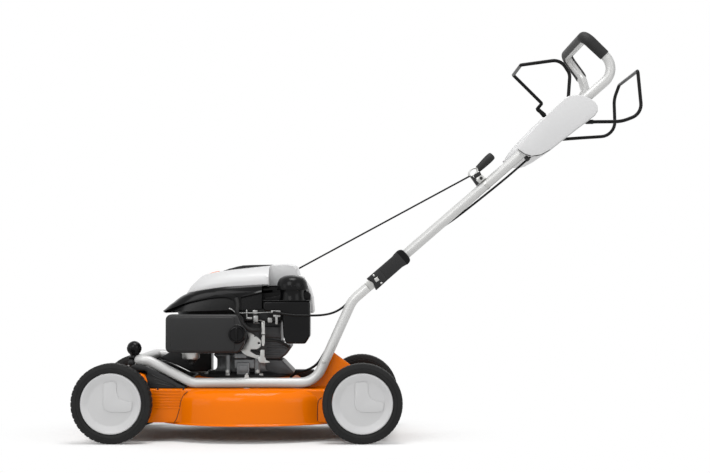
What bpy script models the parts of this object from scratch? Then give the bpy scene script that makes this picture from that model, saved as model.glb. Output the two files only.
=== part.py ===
"""Petrol lawn mower with a single-tube handlebar. Metres, +Z up.

The front points to -X and the operator stands at +X. The operator's left is -Y, the side
that carries the handlebar tube. The origin is on the ground, under the middle of the machine.
"""
from math import atan2, cos, pi, radians, sin, tan

import bmesh
import bpy
from mathutils import Matrix, Vector

# Clearances: between pieces that touch, and round a shaft that turns
GAP = 0.0003
RUNNING_GAP = 0.0006

# Wheels
WHEEL_RADIUS = 0.100
WHEEL_STEPS = 36
WHEEL_Y = 0.229
AXLE_Z = WHEEL_RADIUS * cos(pi / WHEEL_STEPS)
FRONT_X = -0.6195
REAR_X = 0.0020
STUB_RADIUS = 0.008

# Height adjustment: the axles swing on these crosswise lines
FRONT_PIVOT = (-0.580, 0.118)
REAR_PIVOT = (-0.030, 0.085)
FRONT_ROD_RADIUS = 0.007
SHAFT_RADIUS = 0.006
LEVER_Y = -0.150
CRANK_Y = (0.199, 0.205)

# Deck
BLADE_X = -0.300
BOWL_RADIUS = 0.240
BOWL_STEPS = 44
BOWL_BOTTOM = 0.044
SHEET = 0.003
SHAFT_HOLE = 0.030
SHOULDER_Z = 0.1325
CROWN_Z = 0.152
SIDE_TOP_Z = 0.1318
SIDE_Y = 0.182
HUMP_Y = 0.148

# Frame tube and handlebar, both in the plane of the left side rail
TUBE_RADIUS = 0.0125
TUBE_Y = 0.165
RAIL_Z = 0.1465
HOOP_X = -0.563
HANDLE_ANGLE = radians(40.9)
PIVOT = (0.038, 0.4067)

# Handle parts
GRIP_RADIUS = 0.0152
WIRE_RADIUS = 0.004
CABLE_RADIUS = 0.003
ROPE_RADIUS = 0.002
CONSOLE_Y = 0.190
CONSOLE_WALL = 0.004
ENGINE_BAIL_AXIS = (0.522, 0.828)
DRIVE_BAIL_AXIS = (0.520, 0.788)

# Engine
CRANK_RADIUS = 0.0125
CASE_RADIUS = 0.088
FLANGE_RADIUS = 0.124
FLYWHEEL_RADIUS = 0.080
BLADE_LENGTH = 0.456
PULLEY_Z = (0.1160, 0.1275)
ENGINE_PULLEY_RADIUS = 0.034
GEAR_PULLEY_RADIUS = 0.020
COWL_SLOPE = 0.123
FUEL_X = -0.1770
FUEL_Y = -0.1200


def clear_scene():
    for obj in list(bpy.data.objects):
        bpy.data.objects.remove(obj)


def material(name, colour, roughness, metallic=0.0):
    """A Principled material of one colour, made once."""
    found = bpy.data.materials.get(name)
    if found:
        return found
    made = bpy.data.materials.new(name)
    made.use_nodes = True
    shader = made.node_tree.nodes["Principled BSDF"]
    shader.inputs["Base Color"].default_value = (*colour, 1.0)
    shader.inputs["Roughness"].default_value = roughness
    shader.inputs["Metallic"].default_value = metallic
    return made


def orange():
    return material("orange_paint", (0.86, 0.18, 0.0), 0.3)


def silver():
    return material("silver_paint", (0.62, 0.62, 0.61), 0.35)


def black():
    return material("black_plastic", (0.02, 0.02, 0.022), 0.4)


def white():
    return material("light_grey_plastic", (0.78, 0.78, 0.78), 0.35)


def rubber():
    return material("black_rubber", (0.025, 0.025, 0.025), 0.75)


def steel():
    return material("bright_steel", (0.6, 0.6, 0.6), 0.3, 1.0)


def cast():
    return material("cast_aluminium", (0.32, 0.33, 0.34), 0.55, 0.8)


def place(name, bm, paint, origin=(0, 0, 0), smooth=True):
    """Makes the object of a world-space bmesh, with its origin moved to the given point."""
    bmesh.ops.recalc_face_normals(bm, faces=bm.faces)
    bmesh.ops.translate(bm, verts=bm.verts, vec=-Vector(origin))
    mesh = bpy.data.meshes.new(name)
    bm.to_mesh(mesh)
    bm.free()
    if smooth:
        mesh.shade_smooth()
        mesh.set_sharp_from_angle(angle=radians(35))
    obj = bpy.data.objects.new(name, mesh)
    obj.location = origin
    mesh.materials.append(paint)
    bpy.context.collection.objects.link(obj)
    return obj


def turned(profile, steps, turn=Matrix.Identity(4)):
    """Turns a closed (radius, height) outline around Z, then moves it with the matrix.

    An outline whose first and last points lie on the axis makes a solid body, and any other
    outline makes a ring.
    """
    bm = bmesh.new()
    solid = profile[0][0] == 0 and profile[-1][0] == 0
    rings = []
    for radius, height in profile:
        if radius == 0:
            rings.append([bm.verts.new((0, 0, height))])
            continue
        angles = [2 * pi * (step + 0.5) / steps for step in range(steps)]
        rings.append([bm.verts.new((radius * cos(a), radius * sin(a), height)) for a in angles])
    pairs = list(zip(rings, rings[1:]))
    if not solid:
        pairs.append((rings[-1], rings[0]))
    for low, high in pairs:
        for step in range(steps):
            after = (step + 1) % steps
            if len(low) == 1:
                bm.faces.new((low[0], high[step], high[after]))
            elif len(high) == 1:
                bm.faces.new((low[step], low[after], high[0]))
            else:
                bm.faces.new((low[step], low[after], high[after], high[step]))
    bm.transform(turn)
    return bm


def along_y(x, y, z):
    """The matrix that lays a turned body's axis along +Y, at the given point."""
    return Matrix.Translation((x, y, z)) @ Matrix.Rotation(radians(-90), 4, "X")


def upright(x, y):
    return Matrix.Translation((x, y, 0))


def block(low, high, bevel=0.0):
    """A box between two corners, with its edges rounded by one facet."""
    bm = bmesh.new()
    bmesh.ops.create_cube(bm, size=1.0)
    size = [b - a for a, b in zip(low, high)]
    middle = [(a + b) / 2 for a, b in zip(low, high)]
    bmesh.ops.scale(bm, verts=bm.verts, vec=size)
    bmesh.ops.translate(bm, verts=bm.verts, vec=middle)
    if bevel:
        bmesh.ops.bevel(bm, geom=list(bm.edges), offset=bevel, segments=1, affect="EDGES")
    return bm


def slab(outline, low, high, bevel=0.0):
    """An (x, z) outline drawn out along Y, with both rims bevelled."""
    bm = bmesh.new()
    base = bm.faces.new([bm.verts.new((x, low, z)) for x, z in outline])
    drawn = bmesh.ops.extrude_face_region(bm, geom=[base])
    moved = [v for v in drawn["geom"] if isinstance(v, bmesh.types.BMVert)]
    bmesh.ops.translate(bm, verts=moved, vec=(0, high - low, 0))
    if bevel:
        rims = [e for e in bm.edges if abs(e.verts[0].co.y - e.verts[1].co.y) < 1e-7]
        bmesh.ops.bevel(bm, geom=rims, offset=bevel, segments=1, affect="EDGES")
    return bm


def plan_slab(outline, low, high):
    """An (x, y) outline drawn out along Z."""
    bm = slab([(x, y) for x, y in outline], 0, high - low)
    bm.transform(Matrix.Translation((0, 0, high)) @ Matrix.Rotation(radians(-90), 4, "X"))
    return bm


def rounded(points, radius, steps=3):
    """The 2D outline with each corner replaced by an arc."""
    out = []
    count = len(points)
    for index, corner in enumerate(points):
        before = Vector(points[index - 1]) - Vector(corner)
        after = Vector(points[(index + 1) % count]) - Vector(corner)
        out += [tuple(p) for p in corner_arc(Vector(corner), before, after, radius, steps)]
    return out


def drawn_in(points, wall):
    """The 2D outline with every side moved inwards by a wall's thickness."""
    out = []
    for index, corner in enumerate(points):
        corner = Vector(corner)
        before = (Vector(points[index - 1]) - corner).normalized()
        after = (Vector(points[(index + 1) % len(points)]) - corner).normalized()
        inward = Vector((before.y - after.y, after.x - before.x)).normalized()
        depth = wall / abs(inward.dot(Vector((-after.y, after.x))))
        out.append(tuple(corner + inward * depth))
    return out


def corner_arc(corner, before, after, radius, steps):
    """Points of the arc of this radius that rounds a corner, in 2D or 3D."""
    first, second = before.normalized(), after.normalized()
    angle = first.angle(second)
    if abs(pi - angle) < 1e-3:
        return [corner]
    reach = min(radius / tan(angle / 2), before.length * 0.49, after.length * 0.49)
    size = reach * tan(angle / 2)
    middle = corner + (first + second).normalized() * (size / sin(angle / 2))
    start, end = corner + first * reach - middle, corner + second * reach - middle
    sweep = start.angle(end)
    points = []
    for step in range(steps + 1):
        part = step / steps
        mixed = start * sin((1 - part) * sweep) + end * sin(part * sweep)
        points.append(middle + mixed / sin(sweep))
    return points


def bent(corners, steps=5):
    """The route of a bent tube: a list of (x, y, z, bend radius), its ends unbent."""
    points = [Vector(corners[0][:3])]
    for index in range(1, len(corners) - 1):
        corner = Vector(corners[index][:3])
        before = Vector(corners[index - 1][:3]) - corner
        after = Vector(corners[index + 1][:3]) - corner
        points += corner_arc(corner, before, after, corners[index][3], steps)
    points.append(Vector(corners[-1][:3]))
    return points


def smooth_route(knots, spacing):
    """Points of a smooth curve through the knots, about one spacing apart."""
    places = [Vector(k) for k in knots]
    padded = [places[0] * 2 - places[1]] + places + [places[-1] * 2 - places[-2]]
    points = [places[0]]
    for index in range(1, len(padded) - 2):
        a, b, c, d = padded[index - 1:index + 3]
        steps = max(1, round((c - b).length / spacing))
        for step in range(1, steps + 1):
            t = step / steps
            bend = (a * -1 + b * 3 - c * 3 + d) * t ** 3
            lean = (a * 2 - b * 5 + c * 4 - d) * t ** 2
            points.append((bend + lean + (c - a) * t + b * 2) / 2)
    return points


def tube(name, points, radius, paint, sides=8, origin=(0, 0, 0)):
    """A solid round bar along the points, as a curve with a bevel and filled caps."""
    curve = bpy.data.curves.new(name, "CURVE")
    curve.dimensions = "3D"
    curve.bevel_depth = radius
    curve.bevel_resolution = (sides - 4) // 2
    curve.use_fill_caps = True
    spline = curve.splines.new("POLY")
    spline.points.add(len(points) - 1)
    for slot, point in zip(spline.points, points):
        slot.co = (*(point - Vector(origin)), 1.0)
    curve.materials.append(paint)
    obj = bpy.data.objects.new(name, curve)
    obj.location = origin
    bpy.context.collection.objects.link(obj)
    return obj


def sleeve(points, outer, inner, sides):
    """A hollow tube along the points, open at both ends."""
    bm = bmesh.new()
    side = (points[1] - points[0]).orthogonal().normalized()
    loops = []
    for index, point in enumerate(points):
        before = points[max(index - 1, 0)]
        after = points[min(index + 1, len(points) - 1)]
        heading = (after - before).normalized()
        side = (side - heading * side.dot(heading)).normalized()
        other = heading.cross(side)
        pair = []
        for radius in (outer, inner):
            turns = [2 * pi * step / sides for step in range(sides)]
            pair.append([bm.verts.new(point + (side * cos(a) + other * sin(a)) * radius) for a in turns])
        loops.append(pair)
    for first, second in zip(loops, loops[1:]):
        for wall in (0, 1):
            join_rings(bm, first[wall], second[wall])
    join_rings(bm, loops[0][0], loops[0][1])
    join_rings(bm, loops[-1][0], loops[-1][1])
    return bm


def join_rings(bm, first, second):
    count = len(first)
    for step in range(count):
        after = (step + 1) % count
        bm.faces.new((first[step], first[after], second[after], second[step]))


def cut(obj, bm, name, operation="DIFFERENCE"):
    """Takes the bmesh's shape away from the object, or adds it, by a Boolean modifier."""
    tool = place(f"{obj.name}_{name}", bm, obj.data.materials[0], smooth=False)
    tool.hide_render = True
    tool.display_type = "WIRE"
    step = obj.modifiers.new(name, "BOOLEAN")
    step.operation = operation
    step.object = tool
    return tool


def on_handle(along, across):
    """World (x, z) of a place on the handle tube: along it from the fold, and square to it."""
    x = PIVOT[0] + along * cos(HANDLE_ANGLE) - across * sin(HANDLE_ANGLE)
    z = PIVOT[1] + along * sin(HANDLE_ANGLE) + across * cos(HANDLE_ANGLE)
    return x, z


def rod_along(start, end, radius, sides=16):
    """A plain cylinder between two points, for bores."""
    start, end = Vector(start), Vector(end)
    length = (end - start).length
    turn = (end - start).to_track_quat("Z", "Y").to_matrix().to_4x4()
    profile = [(0, 0), (radius, 0), (radius, length), (0, length)]
    return turned(profile, sides, Matrix.Translation(start) @ turn)


def build_wheel(end, side, x):
    """Tyre and rim of one wheel. The side is -1 on the operator's left and 1 on the right."""
    spin = (x, side * WHEEL_Y, AXLE_Z)
    turn = along_y(*spin) @ Matrix.Scale(side, 4, (0, 0, 1))
    tread = WHEEL_RADIUS
    tyre = [(tread, -0.015), (0.094, -0.0205), (0.081, -0.021), (0.0762, -0.017),
            (0.0762, 0.017), (0.081, 0.021), (0.094, 0.0205), (tread, 0.015)]
    hand = "left" if side < 0 else "right"
    place(f"tyre_{end}_{hand}", turned(tyre, WHEEL_STEPS, turn), rubber(), spin)
    rim = [(0, 0.0205), (0.055, 0.0195), (0.0725, 0.0175), (0.0757, 0.012), (0.0757, -0.015),
           (0.071, -0.0165), (0.069, 0.003), (0.018, 0.005), (0.0165, -0.016),
           (STUB_RADIUS + GAP, -0.016), (STUB_RADIUS + GAP, 0.009), (0, 0.009)]
    place(f"rim_{end}_{hand}", turned(rim, 24, turn), white(), spin)


def build_axles():
    """The bent front axle rod with its lever, the two rear cranks and the rear drive shaft."""
    x, z = FRONT_PIVOT
    half = [(FRONT_X, 0.236, AXLE_Z, 0), (FRONT_X, 0.202, AXLE_Z, 0.008), (x, 0.192, z, 0.008)]
    far = [half[0], half[1], half[2]]
    near = [(a, -b, c, r) for a, b, c, r in reversed(far)]
    route = bent(far + near, 3)
    tube("front_axle", route, FRONT_ROD_RADIUS, steel(), 8, (x, 0, z))
    stem = [(x - 0.012, LEVER_Y, z + GAP, 0), (-0.604, LEVER_Y, 0.160, 0.03), (-0.583, LEVER_Y, 0.219, 0)]
    tube("height_lever", bent(stem, 3), 0.004, steel(), 8, (x, 0, z))
    ball = [(0, -0.0165), (0.010, -0.0140), (0.0165, -0.006), (0.0175, 0.001),
            (0.0150, 0.009), (0.008, 0.0150), (0, 0.0172)]
    ball = turned(ball, 16, Matrix.Translation((-0.5775, LEVER_Y, 0.2345)))
    place("height_knob", ball, black(), (x, 0, z))
    for side, hand in ((-1, "left"), (1, "right")):
        build_rear_crank(side, hand)
    shaft = [(0, -0.222), (0.011, -0.222), (0.011, -0.212), (SHAFT_RADIUS, -0.212),
             (SHAFT_RADIUS, 0.212), (0.011, 0.212), (0.011, 0.222), (0, 0.222)]
    spot = (REAR_PIVOT[0], 0, REAR_PIVOT[1])
    place("drive_shaft", turned(shaft, 16, along_y(*spot)), steel(), spot)


def build_rear_crank(side, hand):
    """A link plate on the drive shaft that carries one rear wheel's stub axle."""
    low, high = sorted((side * CRANK_Y[0], side * CRANK_Y[1]))
    pivot, stub = Vector(REAR_PIVOT), Vector((REAR_X, AXLE_Z))
    heading = (stub - pivot).normalized()
    outline = []
    for centre, start in ((stub, -90), (pivot, 90)):
        for step in range(7):
            turn = atan2(heading.y, heading.x) + radians(start + 30 * step)
            outline.append((centre.x + 0.013 * cos(turn), centre.y + 0.013 * sin(turn)))
    spot = (REAR_PIVOT[0], 0, REAR_PIVOT[1])
    crank = place(f"rear_crank_{hand}", slab(outline, low, high), steel(), spot)
    pin = rod_along((stub.x, side * 0.202, stub.y), (stub.x, side * 0.236, stub.y), STUB_RADIUS)
    cut(crank, pin, "stub", "UNION")
    inner, outer = (pivot.x, side * 0.19, pivot.y), (pivot.x, side * 0.21, pivot.y)
    cut(crank, rod_along(inner, outer, SHAFT_RADIUS + RUNNING_GAP), "bore")


def bowl_line(inset):
    """The round housing's outline from its bottom rim to its crown, drawn in by an inset."""
    wall = BOWL_RADIUS - inset
    shoulder = SHOULDER_Z - inset
    return [(wall, 0.108 - inset * 0.4), (wall - 0.006, 0.121 - inset), (wall - 0.022, shoulder),
            (0.140 - inset, shoulder), (0.127 - inset, CROWN_Z - inset)]


def bowl_core():
    """The blade chamber as a solid, half a sheet larger than the space itself."""
    inset = SHEET / 2
    outline = [(0, 0.01), (BOWL_RADIUS - inset, 0.01), *bowl_line(inset), (0, CROWN_Z - inset)]
    return turned(outline, BOWL_STEPS, upright(BLADE_X, 0))


def bowl_shell():
    """The round housing itself, open below and at the crankshaft."""
    outer = [(BOWL_RADIUS, BOWL_BOTTOM), *bowl_line(0), (SHAFT_HOLE, CROWN_Z)]
    inner = [(BOWL_RADIUS - SHEET, BOWL_BOTTOM), *bowl_line(SHEET), (SHAFT_HOLE, CROWN_Z - SHEET)]
    return turned(outer + inner[::-1], BOWL_STEPS, upright(BLADE_X, 0))


def build_deck():
    """The round blade housing with its front end, its rear end and the hump over the drive."""
    front = [(-0.400, 0.047), (-0.400, SIDE_TOP_Z), (-0.510, SIDE_TOP_Z), (-0.520, 0.171),
             (-0.575, 0.178), (-0.630, 0.160), (-0.662, 0.120), (-0.668, 0.047)]
    rear = [(-0.170, 0.0465), (0.068, 0.0465), (0.068, SIDE_TOP_Z), (-0.170, SIDE_TOP_Z)]
    hump = [(-0.118, 0.125), (0.062, 0.125), (0.055, 0.140), (-0.029, 0.192), (-0.072, 0.224),
            (-0.083, 0.222), (-0.112, 0.156)]
    front_room = [(-0.546, 0.02), (-0.546, 0.170), (-0.575, 0.174), (-0.627, 0.157),
                  (-0.659, 0.119), (-0.664, 0.02)]
    rear_room = [(-0.053, 0.02), (0.064, 0.02), (0.064, 0.128), (-0.053, 0.128)]
    hump_room = [(-0.053, 0.100), (0.057, 0.100), (0.051, 0.137), (-0.030, 0.188),
                 (-0.053, 0.205)]
    deck = place("deck", slab(front, -SIDE_Y, SIDE_Y, 0.004), orange())
    cut(deck, slab(rear, -SIDE_Y, SIDE_Y, 0.004), "rear", "UNION")
    cut(deck, slab(hump, -HUMP_Y, HUMP_Y), "hump", "UNION")
    cut(deck, slab(front_room, -SIDE_Y + SHEET, SIDE_Y - SHEET), "front_room")
    cut(deck, slab(rear_room, -SIDE_Y + SHEET, SIDE_Y - SHEET), "rear_room")
    cut(deck, slab(hump_room, -HUMP_Y + SHEET, HUMP_Y - SHEET), "hump_room")
    for name, (x, z) in (("front_notch", FRONT_PIVOT), ("rear_notch", REAR_PIVOT)):
        cut(deck, block((x - 0.0080, -0.2, 0.01), (x + 0.0080, 0.2, z + 0.0085)), name)
    cut(deck, block((-0.642, LEVER_Y - 0.008, 0.12), (-0.588, LEVER_Y + 0.008, 0.2)), "lever_slot")
    cut(deck, bowl_core(), "core")
    cut(deck, bowl_shell(), "bowl", "UNION")
    cut(deck, block((-0.100, -0.045, 0.1150), (-0.045, 0.045, 0.1270)), "belt_slot")


def build_front_cover():
    """The dark cover between the rails, which slopes with them."""
    outline = [(-0.5450, 0.1800), (-0.5440, 0.1850), (-0.5350, 0.1860), (-0.4685, 0.1560), (-0.4430, 0.1525),
               (-0.4430, SHOULDER_Z + GAP), (-0.5080, SHOULDER_Z + GAP), (-0.5185, 0.1720)]
    place("front_cover", slab(outline, -0.140, 0.140, 0.003), black())


def frame_route():
    """The frame tube from the fold on the left, round the front hoop to the right rear."""
    tip = on_handle(-0.034, 0)
    left = [(tip[0], -TUBE_Y, tip[1], 0), (-0.0234, -TUBE_Y, 0.3535, 0.070),
            (-0.1175, -TUBE_Y, RAIL_Z, 0.060)]
    rail = [(-0.4270, -TUBE_Y, RAIL_Z, 0.050), (-0.5360, -TUBE_Y, 0.2020, 0.030)]
    hoop = [(HOOP_X, -TUBE_Y, 0.2035, 0.026), (HOOP_X, TUBE_Y, 0.2035, 0.026)]
    back = [(x, -y, z, r) for x, y, z, r in reversed(rail)]
    return left + rail + hoop + back + [(-0.1500, TUBE_Y, RAIL_Z, 0)]


def build_frame():
    """The bent frame tube that the deck hangs on."""
    tube("frame_tube", bent(frame_route(), 4), TUBE_RADIUS, silver(), 10)


def build_fold():
    """The tongue on the frame, and the forked clamp with its bolt on the handle."""
    outline = [on_handle(-0.0335, -0.0120)]
    for step in range(9):
        turn = radians(-90 + 22.5 * step)
        outline.append(on_handle(0.014 * cos(turn), 0.014 * sin(turn)))
    outline.append(on_handle(-0.0335, 0.0120))
    tongue = place("fold_tongue", slab(outline, -TUBE_Y - 0.0065, -TUBE_Y + 0.0065), steel())
    cut(tongue, rod_along((PIVOT[0], -0.20, PIVOT[1]), (PIVOT[0], -0.13, PIVOT[1]), 0.0045), "bore")
    body = [(-0.0195, -0.0205), (0.070, -0.0190), (0.086, -0.0225), (0.098, -0.0200), (0.102, -0.010),
            (0.102, 0.010), (0.098, 0.0180), (0.084, 0.0210), (0.070, 0.0180), (-0.0205, 0.0185),
            (-0.0120, 0.0)]
    outline = [on_handle(a, c) for a, c in body]
    spot = (PIVOT[0], -TUBE_Y, PIVOT[1])
    clamp = place("fold_clamp", slab(outline, -TUBE_Y - 0.0190, -TUBE_Y + 0.0190, 0.003), black(), spot)
    fork = [on_handle(a, c) for a, c in ((-0.04, -0.05), (0.024, -0.05), (0.024, 0.05), (-0.04, 0.05))]
    cut(clamp, slab(fork, -TUBE_Y - 0.0072, -TUBE_Y + 0.0072), "fork")
    start, end = on_handle(0.030, 0), on_handle(0.13, 0)
    socket = rod_along((start[0], -TUBE_Y, start[1]), (end[0], -TUBE_Y, end[1]), TUBE_RADIUS + GAP)
    cut(clamp, socket, "socket")
    cut(clamp, rod_along((PIVOT[0], -0.20, PIVOT[1]), (PIVOT[0], -0.13, PIVOT[1]), 0.0045), "bore")
    bolt = [(0, -0.0255), (0.0055, -0.0250), (0.0070, -0.0215), (0.0070, -0.0193), (0.0042, -0.0193),
            (0.0042, 0.0193), (0.0070, 0.0193), (0.0070, 0.0225), (0, 0.0225)]
    place("fold_bolt", turned(bolt, 12, along_y(*spot)), steel(), spot)


def handle_route():
    """The handlebar: up the left tube, round the grip loop and down into the console."""
    start, bend = on_handle(0.0305, 0), on_handle(0.8151, 0)
    return [(start[0], -TUBE_Y, start[1], 0), (bend[0], -TUBE_Y, bend[1], 0.045),
            (0.5670, -TUBE_Y, 1.0245, 0.022), (0.5670, TUBE_Y, 1.0245, 0.022),
            (0.6095, 0.148, 0.9600, 0.05), (0.6110, 0.100, 0.9180, 0.05), (0.5560, 0.030, 0.8360, 0)]


def build_handle():
    """The handlebar tube, its grip, the console, the bails, the rope guide and the starter grip."""
    spot = (PIVOT[0], -TUBE_Y, PIVOT[1])
    corners = handle_route()
    tube("handle_tube", bent(corners, 5), TUBE_RADIUS, silver(), 10, spot)
    low_end = Vector(corners[1][:3]).lerp(Vector(corners[2][:3]), 0.42)
    far_end = Vector(corners[3][:3]).lerp(Vector(corners[4][:3]), 0.80)
    grip = bent([(*low_end, 0), *corners[2:4], (*far_end, 0)], 5)
    room = (TUBE_RADIUS + GAP) / cos(pi / 10)
    place("hand_grip", sleeve(grip, GRIP_RADIUS, room, 10), rubber(), spot)
    build_console(spot)
    build_bails()
    guide = [on_handle(a, c) for a, c in ((0.347, 0.0130), (0.377, 0.0130), (0.376, 0.0250),
                                         (0.369, 0.0330), (0.367, 0.0500), (0.350, 0.0500), (0.348, 0.0430))]
    place("rope_guide", slab(guide, -TUBE_Y - 0.012, -TUBE_Y + 0.012, 0.001), steel(), spot)
    x, z = on_handle(0.3750, 0.0430)
    turn = Matrix.Translation((x, -TUBE_Y, z)) @ Matrix.Rotation(pi / 2 - HANDLE_ANGLE, 4, "Y")
    knob = [(0, 0.0), (0.0065, 0.0), (0.0075, 0.015), (0.0105, 0.040), (0.0125, 0.046),
            (0.0115, 0.053), (0, 0.055)]
    place("starter_grip", turned(knob, 12, turn), rubber(), (x, -TUBE_Y, z))


def build_console(spot):
    """The crosswise control housing, bored for the handlebar and slotted for the two bails."""
    outline = [(0.394, 0.735), (0.429, 0.717), (0.475, 0.733), (0.538, 0.783),
               (0.591, 0.824), (0.596, 0.840), (0.588, 0.856), (0.563, 0.869),
               (0.535, 0.872), (0.513, 0.865), (0.462, 0.816), (0.424, 0.776)]
    console = place("console", slab(outline, -CONSOLE_Y, CONSOLE_Y, 0.006), white(), spot)
    reach = CONSOLE_Y - CONSOLE_WALL
    cut(console, slab(drawn_in(outline, CONSOLE_WALL), -reach, reach), "room")
    low, high = on_handle(0.40, 0), on_handle(0.80, 0)
    start, end = (low[0], -TUBE_Y, low[1]), (high[0], -TUBE_Y, high[1])
    cut(console, rod_along(start, end, TUBE_RADIUS + RUNNING_GAP), "bore")
    leg, foot = handle_route()[-2], handle_route()[-1]
    past = Vector(foot[:3]) * 1.02 - Vector(leg[:3]) * 0.02
    cut(console, rod_along(past, leg[:3], TUBE_RADIUS + 0.0012), "leg_bore")
    for y, end in ((-0.120, 0.605), (0.066, 0.570)):
        cut(console, block((0.484, y - 0.006, 0.822), (end, y + 0.006, 0.90)), "stop_slot")
    for y in (-0.140, 0.120):
        cut(console, block((0.514, y - 0.006, 0.70), (0.62, y + 0.006, 0.850)), "drive_slot")


def build_bails():
    """The two wire bails, each hinged on a crosswise line inside the console."""
    x, z = ENGINE_BAIL_AXIS
    near = [(x, -0.120, z, 0), (0.531, -0.120, 0.866, 0.03), (0.536, -0.120, 0.935, 0.022),
            (0.512, -0.120, 0.972, 0.022), (0.410, -0.120, 0.958, 0.004)]
    far = [(0.410, 0.060, 0.958, 0.004), (0.487, 0.060, 0.881, 0.004), (0.474, 0.066, 0.866, 0.004),
           (x, 0.066, z, 0)]
    tube("engine_bail", bent(near + far, 3), WIRE_RADIUS, black(), 8, (x, 0, z))
    x, z = DRIVE_BAIL_AXIS
    near = [(x, -0.140, z, 0), (0.560, -0.140, 0.809, 0.01), (0.664, -0.140, 0.810, 0.05),
            (0.718, -0.140, 0.830, 0.035), (0.7065, -0.140, 0.940, 0.006)]
    far = [(0.7065, 0.120, 0.939, 0.006), (0.692, 0.120, 0.900, 0.02), (0.695, 0.120, 0.800, 0.040),
           (0.600, 0.120, 0.794, 0.03), (x, 0.120, z, 0)]
    tube("drive_bail", bent(near + far, 4), WIRE_RADIUS, black(), 8, (x, 0, z))


def build_cables():
    """The two control cables and the starter rope, each whole along its own route."""
    past, low, high = on_handle(0.112, -0.0100), on_handle(0.150, -0.0165), on_handle(0.4950, -0.0165)
    engine = [(-0.2240, -0.168, 0.3250), (-0.190, -0.169, 0.3190), (-0.157, -0.170, 0.3160),
              (-0.092, -0.166, 0.3180), (-0.052, -0.147, 0.3330), (-0.015, -0.1420, 0.3680),
              (0.038, -0.1370, 0.4067), (past[0], -0.1390, past[1]), (low[0], -0.1580, low[1])]
    ahead = [on_handle(a, -0.0165) for a in (0.19, 0.26, 0.34, 0.42)]
    engine += [(x, -TUBE_Y, z) for x, z in ahead] + [(high[0], -TUBE_Y, high[1])]
    tube("engine_cable", smooth_route(engine, 0.018), CABLE_RADIUS, black())
    drive = [(-0.190, -0.096, SHOULDER_Z + 0.0035), (-0.180, -0.102, 0.158), (-0.150, -0.122, 0.1720),
             (-0.120, -0.156, 0.1880), (-0.102, -0.1640, 0.2230), (-0.084, -0.1560, 0.2520),
             (-0.060, -0.1430, 0.2900), (-0.036, -0.1330, 0.3260), (0.000, -0.1300, 0.3740),
             (0.045, -0.1290, 0.4130)]
    for along, y in ((0.10, -0.1300), (0.15, -0.1440), (0.23, -0.1460), (0.31, -0.1460),
                     (0.39, -0.1460), (0.47, -0.1460)):
        x, z = on_handle(along, 0)
        drive.append((x, y, z))
    tube("drive_cable", smooth_route(drive, 0.018), CABLE_RADIUS, black())
    x, z = on_handle(0.3430, 0.0400)
    rope = [(-0.1630, -0.030, 0.4362), (x, -TUBE_Y, z)]
    start, end = Vector(rope[0]), Vector(rope[1])
    tube("starter_rope", [start.lerp(end, step / 8) for step in range(9)], ROPE_RADIUS, black())


def build_rotor():
    """Everything that turns with the blade: crankshaft, flywheel, pulley, hub, blade and bolt."""
    spot = (BLADE_X, 0, 0)
    turn = upright(BLADE_X, 0)
    crank = [(0, 0.070), (0.009, 0.070), (0.009, 0.100), (CRANK_RADIUS, 0.100), (CRANK_RADIUS, 0.330),
             (0.009, 0.340), (0.009, 0.368), (0, 0.368)]
    place("crankshaft", turned(crank, 16, turn), steel(), spot)
    wheel = [(CRANK_RADIUS + GAP, 0.3050), (0.060, 0.3050), (FLYWHEEL_RADIUS, 0.3150),
             (FLYWHEEL_RADIUS, 0.3290), (0.050, 0.3330), (0.020, 0.3280), (CRANK_RADIUS + GAP, 0.3280)]
    place("flywheel", turned(wheel, 32, turn), cast(), spot)
    low, high = PULLEY_Z
    rim = ENGINE_PULLEY_RADIUS
    disc = [(CRANK_RADIUS + GAP, low), (rim, low), (rim, high), (CRANK_RADIUS + GAP, high)]
    place("engine_pulley", turned(disc, 24, turn), steel(), spot)
    hub = [(0.0093, 0.0700), (0.026, 0.0700), (0.026, 0.0780), (0.018, 0.0800),
           (0.018, 0.0985), (0.0093, 0.0985)]
    place("blade_hub", turned(hub, 16, turn), steel(), spot)
    half, chord = BLADE_LENGTH / 2, 0.026
    corners = [(-half, -chord), (half - 0.01, -chord), (half, chord), (-half + 0.01, chord)]
    outline = [(BLADE_X + x, y) for x, y in rounded(corners, 0.006, 2)]
    place("blade", plan_slab(outline, 0.0660, 0.0697), steel(), spot)
    bolt = [(0, 0.0550), (0.009, 0.0550), (0.009, 0.0615), (0.015, 0.0625), (0.015, 0.0657), (0, 0.0657)]
    place("blade_bolt", turned(bolt, 12, turn), steel(), spot)


def build_drive():
    """The gearbox on the drive shaft, its pulley and the belt."""
    x, z = REAR_PIVOT
    box = place("gearbox", block((x - 0.0215, -0.040, 0.060), (x + 0.0285, 0.040, 0.1080), 0.004), cast())
    cut(box, rod_along((x, -0.1, z), (x, 0.1, z), SHAFT_RADIUS + RUNNING_GAP), "bore")
    low, high = PULLEY_Z
    disc = [(0, 0.1085), (0.005, 0.1085), (0.005, low), (GEAR_PULLEY_RADIUS, low),
            (GEAR_PULLEY_RADIUS, high), (0, high)]
    place("gearbox_pulley", turned(disc, 20, upright(x, 0)), steel(), (x, 0, 0))
    belt = place("drive_belt", plan_slab(belt_outline(0.0045), 0.1180, 0.1255), rubber())
    cut(belt, plan_slab(belt_outline(RUNNING_GAP), 0.10, 0.15), "inside")


def belt_outline(reach):
    """The belt's line round both pulleys, this far outside them."""
    outline = []
    for x, radius, start in ((REAR_PIVOT[0], GEAR_PULLEY_RADIUS, -90), (BLADE_X, ENGINE_PULLEY_RADIUS, 90)):
        for step in range(13):
            turn = radians(start + 15 * step)
            outline.append((x + (radius + reach) * cos(turn), (radius + reach) * sin(turn)))
    return outline


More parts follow.
